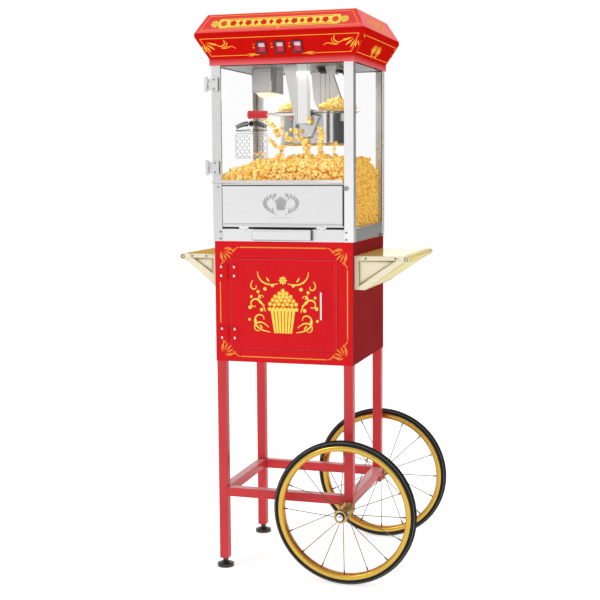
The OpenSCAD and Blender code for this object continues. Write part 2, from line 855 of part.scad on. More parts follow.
// White channel over the drive, in front of the front arm
module gear_cover() {
    x0 = 34.5;
    x1 = 69.5;
    y0 = -158;
    y1 = -arm_y - arm_t;
    low = pivot_z - 20;
    t = 1.2;
    color("#EDEDED") on_cart() {
        block([x0, y0, low], [x1, y0 + t, canopy_low_z]);
        block([x0, y0 + t, low], [x0 + t, y1, canopy_low_z]);
        block([x1 - t, y0 + t, low], [x1, y1, canopy_low_z]);
        block([x0 + t, y0 + t, low], [x1 - t, y1, low + t]);
    }
}

module gear_motor() {
    low = canopy_low_z + 0.2 + sheet_t;
    color(grey_steel) on_cart() difference() {
        union() {
            block([kettle_x - 32, -172, low], [kettle_x + 32, -118, low + 26]);
            rod_z(kettle_x, -145, low + 26, low + 66, 24);
        }
        rod_z(kettle_x, drive_y, low - 1, low + 14, drive_r + running_gap);
    }
}

// A smooth bevel gear about +Z: its pitch cone opens upwards from the origin
module bevel() {
    translate([0, 0, gear_near]) cylinder(h = gear_far - gear_near, r1 = gear_near - gear_gap, r2 = gear_far - gear_gap);
}

// Upright shaft from the motor down to the first bevel pair
module drive_shaft() {
    color(grey_steel) on_cart() translate([kettle_x, drive_y, pivot_z]) {
        bevel();
        translate([0, 0, gear_near]) cylinder(h = canopy_low_z + 14 - pivot_z - gear_near, r = drive_r);
    }
}

// Shaft inside the crossbar, with a bevel at each end
module cross_shaft() {
    color(grey_steel) on_cart() {
        translate([kettle_x, drive_y, pivot_z]) rotate([-90, 0, 0]) bevel();
        translate([kettle_x, 0, pivot_z]) rotate([90, 0, 0]) bevel();
        rod_y(kettle_x, drive_y + gear_near, -gear_near, pivot_z, cross_r);
    }
}

// ---------------------------------------------------------------- kettle

pan_t = 1.5;
pan_floor_z = 1216;
rim_z = 1288.3;
rim_t = 2;
skirt_low_z = 1194;
case_r = 15;
lid_z = 1288.6;
lid_t = 1.4;
lid_pin_dx = 8;
lid_pin_z = 1291.4;
lid_barrel_r = 2.8;
lid_hinge_ys = [-72, 72];
barrel_half = 14;
handle_y = -128;

// Crossbar: the tube through the kettle that is also its two pivots, with the gear case
// in the middle and the bar that the lids hinge on
module crossbar() {
    bar_z = rim_z + 0.1;
    color(grey_steel) on_cart() {
        difference() {
            union() {
                rod_y(kettle_x, -arm_y - arm_t, arm_y + 6, pivot_z, trunnion_r);
                rod_z(kettle_x, 0, pivot_z - case_r, bar_z, case_r);
                rod_y(kettle_x, arm_y + arm_t + 0.4, arm_y + arm_t + 3, pivot_z, 11);
                block([kettle_x - 4, -112, bar_z], [kettle_x + 4, 112, bar_z + 5]);
                for (side = [-1, 1]) for (y = lid_hinge_ys) for (dy = [-1, 1])
                    translate([kettle_x + side * 7, y + dy * (barrel_half + 2), bar_z + 2.9])
                        cube([8, 3, 5.6], center = true);
            }
            rod_y(kettle_x, -arm_y - 4, -4, pivot_z, cross_r + running_gap);
            rod_z(kettle_x, 0, pivot_z - case_r + 3, pivot_z + case_r - 2, case_r - 3);
            rod_z(kettle_x, 0, pivot_z - case_r - 1, pivot_z, cross_r + running_gap);
        }
        for (side = [-1, 1]) for (y = lid_hinge_ys)
            rod_y(kettle_x + side * lid_pin_dx, y - barrel_half - 3, y + barrel_half + 3, lid_pin_z, pin_r);
    }
}

// Bent-wire brace on the front of the skirt, from the kettle's centre
brace_r = 2.2;
brace_path = [
    [11, -106.4, 1282], [34, -112, 1277], [37, -112, 1269], [15, -112, 1221], [2, -107, 1217]
];

module brace() {
    translate([kettle_x, 0, 0]) for (i = [0 : len(brace_path) - 2]) {
        bar_between(brace_path[i], brace_path[i + 1], brace_r, 0, norm(brace_path[i + 1] - brace_path[i]));
        if (i > 0) translate(brace_path[i]) sphere(r = brace_r + 0.2, $fn = 16);
    }
}

module popping_pan() {
    color(bright_steel) on_cart() difference() {
        translate([kettle_x, 0, 0]) {
            rotate_extrude($fn = 96) {
                translate([0, pan_floor_z]) square([pan_r + pan_t, 2]);
                translate([pan_r, pan_floor_z]) square([pan_t, rim_z - pan_floor_z]);
                translate([pan_r, rim_z - rim_t]) square([lid_r - 1 - pan_r, rim_t]);
            }
        }
        rod_y(kettle_x, -lid_r, lid_r, pivot_z, trunnion_r + running_gap);
    }
}

module kettle_skirt() {
    color(bright_steel) on_cart() {
        difference() {
            translate([kettle_x, 0, 0]) rotate_extrude($fn = 96) {
                translate([0, skirt_low_z]) square([skirt_r - 6, 1.5]);
                translate([skirt_r - 1.5, skirt_low_z + 6]) square([1.5, rim_z - rim_t - skirt_low_z - 6]);
                polygon([[skirt_r - 6, skirt_low_z], [skirt_r, skirt_low_z + 6], [skirt_r - 1.5, skirt_low_z + 6.6],
                         [skirt_r - 6.6, skirt_low_z + 1.5]]);
            }
            rod_y(kettle_x, -lid_r, lid_r, pivot_z, trunnion_r + running_gap);
        }
        translate([kettle_x, 0, 0]) rotate([0, 0, -30]) block([skirt_r - 0.5, -12, 1262], [skirt_r + 7, 12, 1283]);
        brace();
    }
}

module heating_ring() {
    color(grey_steel) on_cart() translate([kettle_x, 0, pan_floor_z - 4]) rotate_extrude($fn = 72)
        translate([62, 0]) circle(r = 4, $fn = 32);
}

// Half lid on the right of the crossbar; mirrored for the left one
module half_lid(tab) {
    pin_x = lid_pin_dx;
    difference() {
        union() {
            intersection() {
                translate([0, 0, lid_z]) cylinder(h = lid_t, r = lid_r, $fn = 96);
                block([11.6, -lid_r, lid_z - 1], [lid_r + 1, lid_r, lid_z + lid_t + 1]);
            }
            for (y = lid_hinge_ys) {
                rod_y(pin_x, y - barrel_half, y + barrel_half, lid_pin_z, lid_barrel_r);
                block([pin_x, y - barrel_half, lid_z], [12, y + barrel_half, lid_z + lid_t]);
            }
            if (tab) block([lid_r - 4, -9, lid_z], [lid_r + 8, 9, lid_z + lid_t]);
        }
        for (y = lid_hinge_ys)
            rod_y(pin_x, y - barrel_half - 1, y + barrel_half + 1, lid_pin_z, pin_r + running_gap);
    }
}

module lid_left() {
    color(bright_steel) on_cart() translate([kettle_x, 0, 0]) mirror([1, 0, 0]) half_lid(false);
}

module lid_right() {
    color(bright_steel) on_cart() translate([kettle_x, 0, 0]) half_lid(true);
}

// Stirrer: a bevel in the gear case, its shaft, and two arms just above the pan's floor
module agitator() {
    floor_z = pan_floor_z + 3;
    color(bright_steel) on_cart() translate([kettle_x, 0, 0]) {
        translate([0, 0, pivot_z]) mirror([0, 0, 1]) bevel();
        rod_z(0, 0, floor_z, pivot_z - gear_near, cross_r);
        rod_z(0, 0, floor_z, floor_z + 10, 7);
        for (turn = [0, 180]) rotate([0, 0, turn + 25]) {
            rod_x(5, 86, 0, floor_z + 3, 2.4);
            translate([46, 0, floor_z + 3]) rotate([0, 0, 62]) rod_x(0, 30, 0, 0, 2);
        }
    }
}

// Dump handle: a hub on the front pivot, the rod and its collar
module handle_rod() {
    z = pivot_z + 9;
    color(bright_steel) on_cart() difference() {
        union() {
            rod_y(kettle_x, handle_y - 9, handle_y + 9, pivot_z, 15);
            rod_x(-112, kettle_x - 6, handle_y, z, 4);
            rod_x(-33, -12, handle_y, z, 5.5);
        }
        rod_y(kettle_x, handle_y - 10, handle_y + 10, pivot_z, trunnion_r + running_gap);
    }
}

module handle_grip() {
    z = pivot_z + 9;
    color(red_enamel) on_cart() difference() {
        union() {
            rod_x(-114, -60, handle_y, z, 10.5);
            rod_x(-112, -107, handle_y, z, 11.5);
        }
        rod_x(-112.1, -59, handle_y, z, 4.05);
    }
}

// ---------------------------------------------------------------- kettle lead, lamp, fasteners

lead_r = 3.5;
lead_sides = 8;
lead_route = [
    [123.7, -60, 1400], [131, -60.5, 1399], [138, -61, 1395], [144.5, -62, 1388], [150, -63, 1377], [154, -63.5, 1362],
    [156.5, -63.5, 1346], [157.5, -63, 1330], [158, -62.5, 1314], [158, -62, 1300], [157.5, -61.7, 1290],
    [156.8, -61.4, 1283], [155.2, -60.7, 1276.5], [152.6, -59.2, 1272.2], [149.42, -57.4, 1272.2]
];

// Frame across the route at point i: two unit vectors square to its direction
function unit(v) = v / norm(v);
function lead_dir(i) = unit(lead_route[min(i + 1, len(lead_route) - 1)] - lead_route[max(i - 1, 0)]);
function lead_side(i) = unit(cross(lead_dir(i), [0.3, 1, 0.1]));
function lead_up(i) = cross(lead_side(i), lead_dir(i));

// The lead from the ceiling bracket to the kettle's terminal box
module kettle_lead() {
    count = len(lead_route);
    points = [
        for (i = [0 : count - 1]) for (k = [0 : lead_sides - 1])
            lead_route[i] + lead_r * (cos(k * 360 / lead_sides) * lead_side(i) + sin(k * 360 / lead_sides) * lead_up(i))
    ];
    sides = [
        for (i = [0 : count - 2]) for (k = [0 : lead_sides - 1])
            let (next = (k + 1) % lead_sides)
            [i * lead_sides + k, (i + 1) * lead_sides + k, (i + 1) * lead_sides + next, i * lead_sides + next]
    ];
    first = [for (k = [0 : lead_sides - 1]) k];
    last = [for (k = [0 : lead_sides - 1]) count * lead_sides - 1 - k];
    color(black) on_cart() polyhedron(points = points, faces = concat(sides, [first, last]));
}

lamp_x0 = -133;
lamp_x1 = -76;
lamp_y0 = -40;
lamp_y1 = 75;
lamp_low_z = 1347;
lens_r = 29.3;
lens_drop = 14;

// Lamp housing, open below, and the bracket that the kettle's lead hangs from
module lamp_housing() {
    t = 1.2;
    top = canopy_low_z + 0.2;
    color(bright_steel) on_cart() {
        difference() {
            block([lamp_x0, lamp_y0, lamp_low_z], [lamp_x1, lamp_y1, top]);
            block([lamp_x0 + t, lamp_y0 + t, lamp_low_z - 1], [lamp_x1 - t, lamp_y1 - t, top - t]);
        }
        slab_xz(-75, -45, [[92, top], [125, top], [121, 1390], [98, 1390]]);
    }
}

// Frosted lens: two ball-shaped ends drawn together into one long dome
module lamp_lens() {
    x = (lamp_x0 + lamp_x1) / 2;
    color("#FFF3C4") on_cart() hull() for (y = [lamp_y0 + 30, lamp_y1 - 30]) translate([x, y, lamp_low_z - 0.2]) {
        difference() {
            translate([0, 0, lens_r - lens_drop]) sphere(r = lens_r, $fn = 32);
            translate([0, 0, 50]) cube(100, center = true);
        }
    }
}

shelf_screw_z = shelf_top_z - 6;

// Screw heads, the axle's washers and nuts, the flap's catch, bumpers and the mains inlet
module fasteners() {
    hub_end = wheel_mid_y + hub_half;
    hub_start = wheel_mid_y - hub_half;
    leg_face = cart_d / 2 - sheet_t;
    color(grey_steel) on_cart() {
        for (side = [-1, 1]) {
            for (z = [940.5, 959.5]) rod_y(side * 180, -half_pd - 1.4, -half_pd, z, 3.2);
            mirror([0, side < 0 ? 0 : 1, 0]) {
                difference() {
                    union() {
                        rod_y(leg_x, -hub_start + 0.3, -leg_face, wheel_r, 12);
                        rod_y(leg_x, -hub_end - 2, -hub_end - 0.3, wheel_r, 13);
                        rod_y(leg_x, -hub_end - 10, -hub_end - 2, wheel_r, 9.5);
                    }
                    rod_y(leg_x, -hub_end - 12, -leg_face + 1, wheel_r, axle_r + running_gap);
                }
            }
        }
        for (x = [half_w + 32, half_w + 114]) rod_y(x, shelf_front_y - 1.6, shelf_front_y - 0.2, shelf_screw_z, 3);
        for (x = [half_w + 32, half_w + 74]) rod_y(-x, shelf_front_y - 1.6, shelf_front_y - 0.2, shelf_screw_z, 3);
        rod_y(180.6, -half_pd - 5, -half_pd, 1078, 6.3);
        rod_y(-185, -half_pd - 2, -half_pd, 1083, 3);
        for (side = [-1, 1]) block([side * (half_pw + 1.5) - 1.5, 132, 934], [side * (half_pw + 1.5) + 1.5, 152, 941]);
        block([-168, band_d / 2, 1416], [-132, band_d / 2 + 5, 1428]);
    }
}

left_legs();
right_legs();
stretchers();
foot_front();
foot_rear();
axle();
tyre_front();
rim_front();
spokes_front();
hub_front();
tyre_rear();
rim_rear();
spokes_rear();
hub_rear();
cabinet_front();
cabinet_walls();
cabinet_floor();
cabinet_top();
cabinet_door();
cabinet_hinges();
cabinet_door_leaves();
door_pull();
shelf_left();
shelf_right();
shelf_ends();
base_rails();
popcorn_deck();
sifter_grate();
kernel_drawer();
corner_posts();
fixed_panes();
glass_door();
glass_door_hinges();
glass_door_leaves();
serving_flap();
flap_hinges();
canopy();
ceiling_plate();
switch_bezels();
rocker_heat();
rocker_stir();
rocker_lamp();
hanger_arms();
gear_cover();
gear_motor();
drive_shaft();
cross_shaft();
crossbar();
popping_pan();
kettle_skirt();
heating_ring();
lid_left();
lid_right();
agitator();
handle_rod();
handle_grip();
kettle_lead();
lamp_housing();
lamp_lens();
fasteners();
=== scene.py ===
"""Looks of the popcorn maker on its cart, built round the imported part.

Lengths are metres in the part's frame: +Z is up and the front faces -Y.
"""

import math
from itertools import combinations

import bpy
import numpy as np
from mathutils import Matrix, Vector


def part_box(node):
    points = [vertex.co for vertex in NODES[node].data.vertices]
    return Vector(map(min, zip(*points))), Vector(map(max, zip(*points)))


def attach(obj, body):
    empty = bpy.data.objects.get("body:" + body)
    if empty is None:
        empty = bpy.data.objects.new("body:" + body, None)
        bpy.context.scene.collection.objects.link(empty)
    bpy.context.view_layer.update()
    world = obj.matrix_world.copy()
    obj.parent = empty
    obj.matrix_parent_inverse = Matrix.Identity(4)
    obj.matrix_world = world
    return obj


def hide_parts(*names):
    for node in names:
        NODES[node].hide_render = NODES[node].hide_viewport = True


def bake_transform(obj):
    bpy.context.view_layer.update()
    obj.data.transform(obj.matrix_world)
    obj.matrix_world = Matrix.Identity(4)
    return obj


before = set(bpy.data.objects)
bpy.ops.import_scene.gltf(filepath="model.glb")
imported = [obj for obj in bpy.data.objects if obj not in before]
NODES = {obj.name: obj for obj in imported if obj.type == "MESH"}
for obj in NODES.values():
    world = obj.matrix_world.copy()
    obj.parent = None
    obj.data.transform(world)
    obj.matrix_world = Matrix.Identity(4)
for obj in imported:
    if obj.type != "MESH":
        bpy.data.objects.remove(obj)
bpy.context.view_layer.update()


def box(node):
    """A node's lowest and highest corners as two numpy arrays."""
    low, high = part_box(node)
    return np.array(low), np.array(high)


CABINET_LOW, CABINET_HIGH = box("cabinet_front")
POST_LOW, POST_HIGH = box("corner_posts")
CANOPY_LOW, CANOPY_HIGH = box("canopy")
MIDDLE_X = (POST_LOW[0] + POST_HIGH[0]) / 2  # the cart's middle; wheels and shelves reach past it
KETTLE_X = MIDDLE_X + 0.050
OUT = (0, -1, 0)


# ---------------------------------------------------------------- camera
def make_camera():
    """The main view: yaw, pitch and roll in degrees about the place where the lens stands."""
    yaw, pitch, roll = (math.radians(a) for a in (-16.897, -6.318, -0.395))
    forward = Vector((math.sin(yaw) * math.cos(pitch), math.cos(yaw) * math.cos(pitch), math.sin(pitch)))
    level = Vector((math.cos(yaw), -math.sin(yaw), 0))
    upright = level.cross(forward)
    right = level * math.cos(roll) + upright * math.sin(roll)
    up = upright * math.cos(roll) - level * math.sin(roll)
    data = bpy.data.cameras.new("camera")
    data.sensor_width, data.lens = 36.0, 71.61
    data.clip_start, data.clip_end = 0.05, 60.0
    camera = bpy.data.objects.new("camera", data)
    turn = Matrix((right, up, -forward)).transposed()
    camera.matrix_world = Matrix.Translation((MIDDLE_X + 0.99227, -3.2898, 1.13399)) @ turn.to_4x4()
    bpy.context.collection.objects.link(camera)
    bpy.context.scene.camera = camera


make_camera()


# ---------------------------------------------------------------- materials
def is_output(value):
    return isinstance(value, bpy.types.NodeSocket)


def scaled(colour, share):
    return tuple(c * share for c in colour)


def grey(level):
    return (level, level, level)


class Nodes:
    """The node tree of a material or world; each helper adds nodes and gives back their last output."""

    def __init__(self, owner):
        owner.use_nodes = True
        self.tree = owner.node_tree
        self.tree.nodes.clear()

    def node(self, kind, inputs=None, **settings):
        """Adds a node and fills its inputs with numbers or other nodes' outputs."""
        made = self.tree.nodes.new("ShaderNode" + kind)
        for key, value in settings.items():
            setattr(made, key, value)
        for key, value in (inputs or {}).items():
            if is_output(value):
                self.tree.links.new(value, made.inputs[key])
            else:
                made.inputs[key].default_value = value
        return made

    def math(self, operation, first, second):
        return self.node("Math", {0: first, 1: second}, operation=operation).outputs[0]

    def ramp(self, value, start, end, low=0.0, high=1.0):
        """Maps start..end of a value onto low..high, and holds low and high outside it."""
        inputs = {"Value": value, "From Min": start, "From Max": end, "To Min": low, "To Max": high}
        return self.node("MapRange", inputs).outputs[0]

    def along(self, vector, axis):
        return self.node("SeparateXYZ", {0: vector}).outputs[axis]


class Shader(Nodes):
    """A material's tree, whose patterns stand in the part's own coordinates."""

    def __init__(self, name):
        self.material = bpy.data.materials.new(name)
        super().__init__(self.material)
        self.place = self.node("TexCoord").outputs["Object"]

    def where(self, axis):
        """The place along an axis, in metres."""
        return self.along(self.place, axis)

    def facing(self, axis):
        """How far the surface faces along an axis, -1..1."""
        return self.along(self.node("NewGeometry").outputs["Normal"], axis)

    def noise(self, scale, detail=3.0, stretch=(1, 1, 1), roughness=0.55):
        """Noise in 0..1 with features about 1/scale metres across, drawn out where stretch is small."""
        mapped = self.node("Mapping", {"Vector": self.place, "Scale": stretch}).outputs[0]
        values = {"Vector": mapped, "Scale": scale, "Detail": detail, "Roughness": roughness}
        return self.node("TexNoise", values).outputs["Fac"]

    def spread(self, value, low, high, start=0.3, end=0.7):
        """Maps the middle of a 0..1 pattern onto low..high."""
        return self.ramp(value, start, end, low, high)

    def mix(self, share, first, second):
        """first where share is 0, second where it is 1."""
        first, second = (c if is_output(c) else (*c, 1.0) for c in (first, second))
        return self.node("Mix", {0: share, 6: first, 7: second}, data_type="RGBA").outputs[2]

    def bump(self, height, distance, strength=1.0, under=None):
        inputs = {"Height": height, "Distance": distance, "Strength": strength}
        if under is not None:
            inputs["Normal"] = under
        return self.node("Bump", inputs).outputs[0]

    def peel(self):
        """The fine orange peel of sprayed paint."""
        return self.bump(self.noise(330.0, 2.0), 0.00008, 0.2)

    def end(self, surface):
        self.node("OutputMaterial", {0: surface})
        return self.material

    def finish(self, colour, roughness, normal=None, **fixed):
        """Ends the tree in a Principled shader; fixed holds socket names with _ for spaces."""
        inputs = {"Base Color": colour if is_output(colour) else (*colour, 1.0), "Roughness": roughness}
        if normal is not None:
            inputs["Normal"] = normal
        inputs.update({key.replace("_", " "): value for key, value in fixed.items()})
        return self.end(self.node("BsdfPrincipled", inputs).outputs[0])


def enamel(name, colour, shade, rough=0.24, coat=0.03, gloss=0.04, top_sheen=None, lit=0.0):
    """Sprayed gloss paint: faint clouding, orange peel, dust in patches, a paler painted sheen of top_sheen on
    top faces, and a painted glow of strength lit.
    """
    s = Shader(name)
    tint = s.mix(s.spread(s.noise(5.0, 4.0), 0.0, 1.0), colour, shade)
    dust = s.noise(38.0, 6.0, roughness=0.7)
    speck = s.spread(s.noise(420.0, 2.0), 0.0, 0.03, 0.68, 0.8)
    tint = s.mix(speck, tint, tuple(min(1.0, c * 0.6 + 0.25) for c in colour))
    # a paler painted sheen on faces that look up, where the light falls
    if top_sheen:
        tint = s.mix(s.ramp(s.facing("Z"), 0.6, 0.95, 0.0, 0.8), tint, top_sheen)
    peel = s.bump(s.noise(14.0, 2.0), 0.0008, 0.12, s.peel())
    level = s.spread(dust, rough - 0.04, rough + 0.08)
    # lit is the strength of a painted glow
    fixed = {"Emission_Color": tint, "Emission_Strength": lit} if lit else {}
    fixed.update(Coat_Weight=coat, Coat_Roughness=0.08, Specular_IOR_Level=gloss)
    return s.finish(tint, level, peel, **fixed)


def brushed(name, colour, shade, rough, along, grain=900.0, side=1.0, front_highlight=None, rear_lit=0.0):
    """Satin metal brushed along one axis (0, 1 or 2), with handling smears.

    Faces to the right are painted darker as shade, side times as light; the front of what stands at the right
    has a painted highlight towards front_highlight, with less metal at the rear; what stands at the rear has a
    painted glow of rear_lit.
    """
    s = Shader(name)
    lines = s.noise(grain, 4.0, tuple(0.02 if axis == along else 1.0 for axis in range(3)), 0.65)
    smear = s.noise(9.0, 5.0, roughness=0.6)
    tint = s.mix(s.spread(lines, 0.0, 1.0), shade, colour)
    tint = s.mix(s.spread(smear, 0.0, 0.10), tint, scaled(colour, 0.72))
    fixed = {"Metallic": 1.0}
    # painted shade on faces to the right
    if side < 1:
        tint = s.mix(s.ramp(s.facing("X"), 0.5, 0.9), tint, scaled(colour, side))
    # a painted highlight on the front of what stands at the right
    if front_highlight:
        share = s.math("MULTIPLY", s.ramp(s.where("X"), 0.05, 0.13), s.ramp(s.facing("Y"), -0.7, -0.9))
        tint = s.mix(share, tint, grey(front_highlight))
        fixed["Metallic"] = s.ramp(s.where("Y"), 0.05, 0.08, 1.0, 0.25)
    # a painted glow on what stands at the rear
    if rear_lit:
        fixed.update(Emission_Color=tint, Emission_Strength=s.ramp(s.where("Y"), 0.0, 0.02, 0.0, rear_lit))
    prints = s.spread(s.noise(60.0, 6.0, roughness=0.75), 0.0, 0.03)
    level = s.math("ADD", s.spread(smear, rough - 0.02, rough + 0.04), prints)
    return s.finish(tint, level, s.bump(lines, 0.00004, 0.4), **fixed)


def polished(name, colour, rough=0.08, left_lit=0.0):
    """Bright plating: wipe marks, a slight waviness that bends reflections, and a painted glow of left_lit on
    faces to the left.
    """
    s = Shader(name)
    wipe = s.noise(150.0, 5.0, (1, 0.2, 1), 0.7)
    tint = s.mix(s.spread(s.noise(18.0, 5.0), 0.0, 0.3), colour, scaled(colour, 0.8))
    wave = s.bump(s.noise(30.0, 1.0), 0.0006, 0.15)
    fixed = {"Metallic": 1.0}
    # painted glow on faces to the left
    if left_lit:
        glow = s.ramp(s.facing("X"), -0.35, -0.85, 0.0, left_lit)
        fixed.update(Emission_Color=(0.86, 0.86, 0.85, 1.0), Emission_Strength=glow)
    return s.finish(tint, s.spread(wipe, rough, rough + 0.10), s.bump(wipe, 0.00002, 0.4, wave), **fixed)


def moulded(name, colour, rough=0.45, grain=700.0, depth=0.00008, coat=0.0, gloss=0.25):
    """Moulded plastic or rubber with a fine sparked texture and a dusty bloom."""
    s = Shader(name)
    bloom = tuple(min(1.0, c * 1.5 + 0.02) for c in colour)
    tint = s.mix(s.spread(s.noise(24.0, 5.0), 0.0, 0.35), colour, bloom)
    level = s.spread(s.noise(80.0, 4.0), rough - 0.06, rough + 0.1)
    pits = s.bump(s.noise(grain, 3.0), depth, 0.5)
    return s.finish(tint, level, pits, Coat_Weight=coat, Coat_Roughness=0.1, Specular_IOR_Level=gloss)


def pane_glass(name):
    """A thin clear pane: light passes straight through, a fifth of Fresnel gloss outside, faint wipe haze."""
    s = Shader(name)
    haze = s.spread(s.noise(7.0, 6.0, (1, 1, 0.35), 0.7), 0.0, 0.002, 0.45, 0.75)
    drops = s.spread(s.noise(90.0, 3.0), 0.0, 0.35, 0.68, 0.78)
    dull = s.math("ADD", haze, s.math("MULTIPLY", drops, 0.01))
    clear = s.node("BsdfTransparent", {"Color": (0.9995, 1.0, 0.9998, 1.0)}).outputs[0]
    gloss = s.node("BsdfGlossy", {"Color": (1.0, 1.0, 1.0, 1.0), "Roughness": 0.02}).outputs[0]
    film = s.node("BsdfDiffuse", {"Color": (0.9, 0.9, 0.88, 1.0)}).outputs[0]
    outside = s.math("SUBTRACT", 1.0, s.node("NewGeometry").outputs["Backfacing"])
    edge = s.math("MULTIPLY", s.node("Fresnel", {"IOR": 1.45}).outputs[0], outside)
    edge = s.math("MINIMUM", s.math("MULTIPLY", edge, 0.2), 0.10)
    body = s.node("MixShader", {0: dull, 1: clear, 2: film}).outputs[0]
    return s.end(s.node("MixShader", {0: edge, 1: body, 2: gloss}).outputs[0])


def glow(name, colour, strength):
    """A frosted lamp cover lit from inside."""
    s = Shader(name)
    tint = s.mix(s.spread(s.noise(30.0, 3.0), 0.0, 0.4), colour, scaled(colour, 0.85))
    frost = s.bump(s.noise(260.0, 2.0), 0.0002, 0.4)
    return s.finish(tint, 0.3, frost, Emission_Color=(*colour, 1.0), Emission_Strength=strength)


# ---------------------------------------------------------------- mesh helpers
def new_piece(name, points, faces, body, slot, material, smooth=False):
    """Makes an object whose place is in its mesh and which moves with a CAD body, unless body is None."""
    mesh = bpy.data.meshes.new(name)
    mesh.from_pydata([tuple(map(float, p)) for p in points], [], [tuple(map(int, f)) for f in faces])
    mesh.update()
    if smooth:
        mesh.polygons.foreach_set("use_smooth", [True] * len(mesh.polygons))
    made = bpy.data.objects.new(name, mesh)
    bpy.context.collection.objects.link(made)
    mesh.materials.append(material)
    if body is not None:
        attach(made, body)
    return made


class Bunch:
    """Points and faces gathered from many small shapes into one mesh."""

    def __init__(self):
        self.points, self.faces, self.count = [], [], 0

    def add(self, points, faces):
        points = np.asarray(points, float)
        self.points.append(points)
        self.faces.extend([i + self.count for i in f] for f in faces)
        self.count += len(points)

    def make(self, name, body, slot, material, smooth=True):
        return new_piece(name, np.concatenate(self.points), self.faces, body, slot, material, smooth)

    def hoop(self, *shape, **settings):
        self.add(*hoop(*shape, **settings))

    def tube(self, *shape, **settings):
        self.add(*tube(*shape, **settings))

    def turned(self, *shape, **settings):
        self.add(*turned(*shape, **settings))


def frame_of(direction):
    """Two unit vectors square to a direction, and the direction itself, as rows."""
    w = np.asarray(direction, float) / np.linalg.norm(direction)
    side = np.array([0.0, 0.0, 1.0]) if abs(w[2]) < 0.9 else np.array([1.0, 0.0, 0.0])
    u = np.cross(side, w)
    u /= np.linalg.norm(u)
    return np.array([u, np.cross(w, u), w])


def angles(count):
    """A whole turn in count equal steps."""
    return np.arange(count) * 2 * math.pi / count


def quads(rings, around, closed=False):
    """Faces between rings of points: a point, the one beside it, and the same two on the next ring."""
    i, k = np.indices((rings if closed else rings - 1, around)).reshape(2, -1)
    after, beside = (i + 1) % rings * around, (k + 1) % around
    return np.stack([i * around + k, i * around + beside, after + beside, after + k], 1)


def capped(rings, around):
    """The faces of rings that are closed off by a flat face at both ends."""
    last = (rings - 1) * around
    return [*quads(rings, around), range(around)[::-1], range(last, last + around)]


def turned(profile, start, direction, around=24):
    """A lathe form: profile rows are (radius, height) along direction from start, closed at both ends.

    Point k of a ring stands at start + h w + r (u cos a + v sin a), a = 2 pi k / around.
    """
    u, v, w = frame_of(direction)
    circle = np.outer(np.cos(angles(around)), u) + np.outer(np.sin(angles(around)), v)
    rings = [np.asarray(start) + h * w + r * circle for r, h in profile]
    return np.concatenate(rings), capped(len(rings), around)


def tube(path, radius, around=12, closed=False):
    """A round tube along a path: each ring stands at p + r (s cos a + (w x s) sin a).

    w is the way ahead, and s the last ring's side less its part along w, so that the tube never twists.
    """
    path = np.asarray(path, float)
    ahead = np.roll(path, -1, 0) - path if closed else np.gradient(path, axis=0)
    ahead = ahead / np.linalg.norm(ahead, axis=1)[:, None]
    side = frame_of(ahead[0])[0]
    a = angles(around)
    rings = []
    for point, w in zip(path, ahead):
        side = side - w * side.dot(w)
        side /= np.linalg.norm(side)
        rings.append(point + radius * (np.outer(np.cos(a), side) + np.outer(np.sin(a), np.cross(w, side))))
    return np.concatenate(rings), quads(len(path), around, True) if closed else capped(len(path), around)


def hoop(section, centre, around=96, axis=1):
    """A ring: a closed section of (radius, offset) rows turned about an axis (1 = Y, 2 = Z) through centre.

    A row (r, o) gives the points (r cos a, r sin a) square to the axis, o along it.
    """
    radius, offset = np.asarray(section, float).T
    a = angles(around)[:, None]
    c, s, o = np.cos(a) * radius, np.sin(a) * radius, np.ones_like(a) * offset
    points = np.stack((c, o, s) if axis == 1 else (c, s, o), -1).reshape(-1, 3) + np.asarray(centre)
    faces = quads(around, len(radius), True)
    return points, faces[:, [0, 3, 2, 1]] if axis == 1 else faces


def oval(radius, offset, wide, tall, steps=12):
    """An elliptic section for hoop(), (radius + wide cos t, offset + tall sin t), wound to face outwards."""
    return [(radius + wide * math.cos(t), offset + tall * math.sin(t)) for t in angles(steps)]


def smooth_path(points, steps=10):
    """A Catmull-Rom curve through points, a cubic with steps samples in each span."""
    p = np.asarray(points, float)
    p = np.vstack([2 * p[0] - p[1], p, 2 * p[-1] - p[-2]])
    t = np.linspace(0, 1, steps, endpoint=False)[:, None]
    spans = [0.5 * (2 * b + (c - a) * t + (2 * a - 5 * b + 4 * c - d) * t**2 + (3 * b - a - 3 * c + d) * t**3)
             for a, b, c, d in zip(p, p[1:], p[2:], p[3:])]
    return np.concatenate([*spans, p[-2][None]])


# ---------------------------------------------------------------- painted line work
class Face:
    """A flat face to paint on: u runs across it, v up it, and paint lies proud of it along its normal."""

    def __init__(self, corner, u=(1, 0, 0), v=(0, 0, 1)):
        self.corner = np.asarray(corner, float)
        self.u, self.v = (np.asarray(way, float) / np.linalg.norm(way) for way in (u, v))
        self.n = np.cross(self.u, self.v)

    def at(self, flat, proud):
        """The place corner + u U + v V + proud N of each flat point."""
        return self.corner + flat[:, :1] * self.u + flat[:, 1:2] * self.v + proud * self.n


